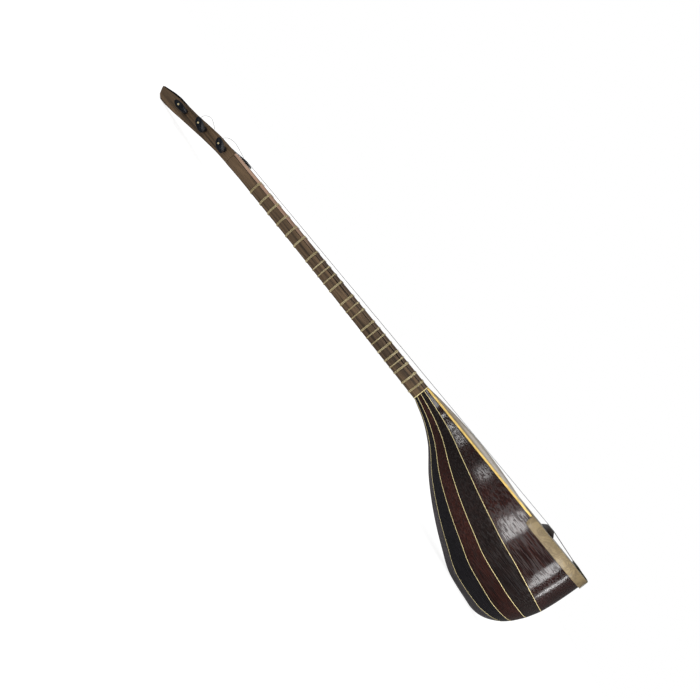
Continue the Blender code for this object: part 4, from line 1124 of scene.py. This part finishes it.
# Places on the top bass rib that mirror a strip lamp: distance along, half its width there, how far
# across the rib it starts and stops, and how bright the lamp is
MIRRORED_STRIPS = [
    (58 * MM, 4 * MM, 0.1, 0.9, 24.0),
    (130 * MM, 9 * MM, 0.05, 0.7, 8.0),
    (206 * MM, 13 * MM, 0.05, 1.0, 12.0),
    (281 * MM, 5 * MM, 0.1, 1.0, 12.0),
    (298 * MM, 2.2 * MM, 0.2, 1.0, 14.0),
]
STRIP_DISTANCE = 1.3

# A strip that would hang under the floor stops at this share of the way down to it
STRIP_ABOVE_FLOOR = 0.85


def area_lamp(name, size, watts, where):
    light = bpy.data.lights.new(name, "AREA")
    light.shape = "RECTANGLE"
    light.size, light.size_y = size
    light.energy = watts
    holder = bpy.data.objects.new(name, light)
    holder.matrix_world = where
    holder.visible_camera = False
    bpy.context.scene.collection.objects.link(holder)


def window_lamp(name, place, aim, size, watts):
    turned = (Vector(aim) - Vector(place)).to_track_quat("-Z", "Y").to_matrix().to_4x4()
    area_lamp(name, size, watts, Matrix.Translation(place) @ turned)


def mirrored_ray(face, x, share):
    """A place on a rib's face, and the way that the photographer's view is mirrored there."""
    middle = RIB_WIDTH_STEPS // 2
    i = min(range(1, len(face) - 1), key=lambda n: abs(face[n][middle].x - x))
    k = min(max(round(share * RIB_WIDTH_STEPS), 1), RIB_WIDTH_STEPS - 1)
    along = face[i + 1][k] - face[i - 1][k]
    across = face[i][k + 1] - face[i][k - 1]
    place = TO_FRAME @ face[i][k]
    square = (TO_FRAME.to_3x3() @ along.cross(across)).normalized()
    look = (place - CAMERA_AT).normalized()
    return place, look - 2 * look.dot(square) * square


def strip_lamp(name, face, x, half_span, first, last, glow):
    """A strip lamp placed so that the rib mirrors it as a streak across its width."""
    centre = (first + last) / 2
    rays = [mirrored_ray(face, x, first), mirrored_ray(face, x, last),
            mirrored_ray(face, x - half_span, centre), mirrored_ray(face, x + half_span, centre)]
    falling = [STRIP_ABOVE_FLOOR * place.z / -way.z for place, way in rays if way.z < -0.001]
    reach = min([STRIP_DISTANCE] + falling)
    top, foot, before, after = (place + way * reach for place, way in rays)
    middle = (top + foot) / 2
    aim = (rays[0][0] + rays[1][0]) / 2
    long_way = top - foot
    size = (long_way.length, (after - before).length)
    away = (middle - aim).normalized()
    level = (long_way - away * long_way.dot(away)).normalized()
    turned = Matrix((level, away.cross(level), away)).transposed().to_4x4()
    area_lamp(name, size, glow * math.pi * size[0] * size[1], Matrix.Translation(middle) @ turned)


def make_lamps(top_rib):
    for number, strip in enumerate(MIRRORED_STRIPS, start=1):
        strip_lamp("strip lamp %d" % number, top_rib, *strip)
    for window in WINDOWS:
        window_lamp(*window)


make_camera()
top_bass_rib = make_side_ribs()
make_middle_rib()
make_frets()
make_strings()
make_loose_ends()
make_neck()
make_pegs()
make_fittings()
make_floor()
make_world()
make_lamps(top_bass_rib)
bpy.context.scene.view_settings.view_transform = "Standard"
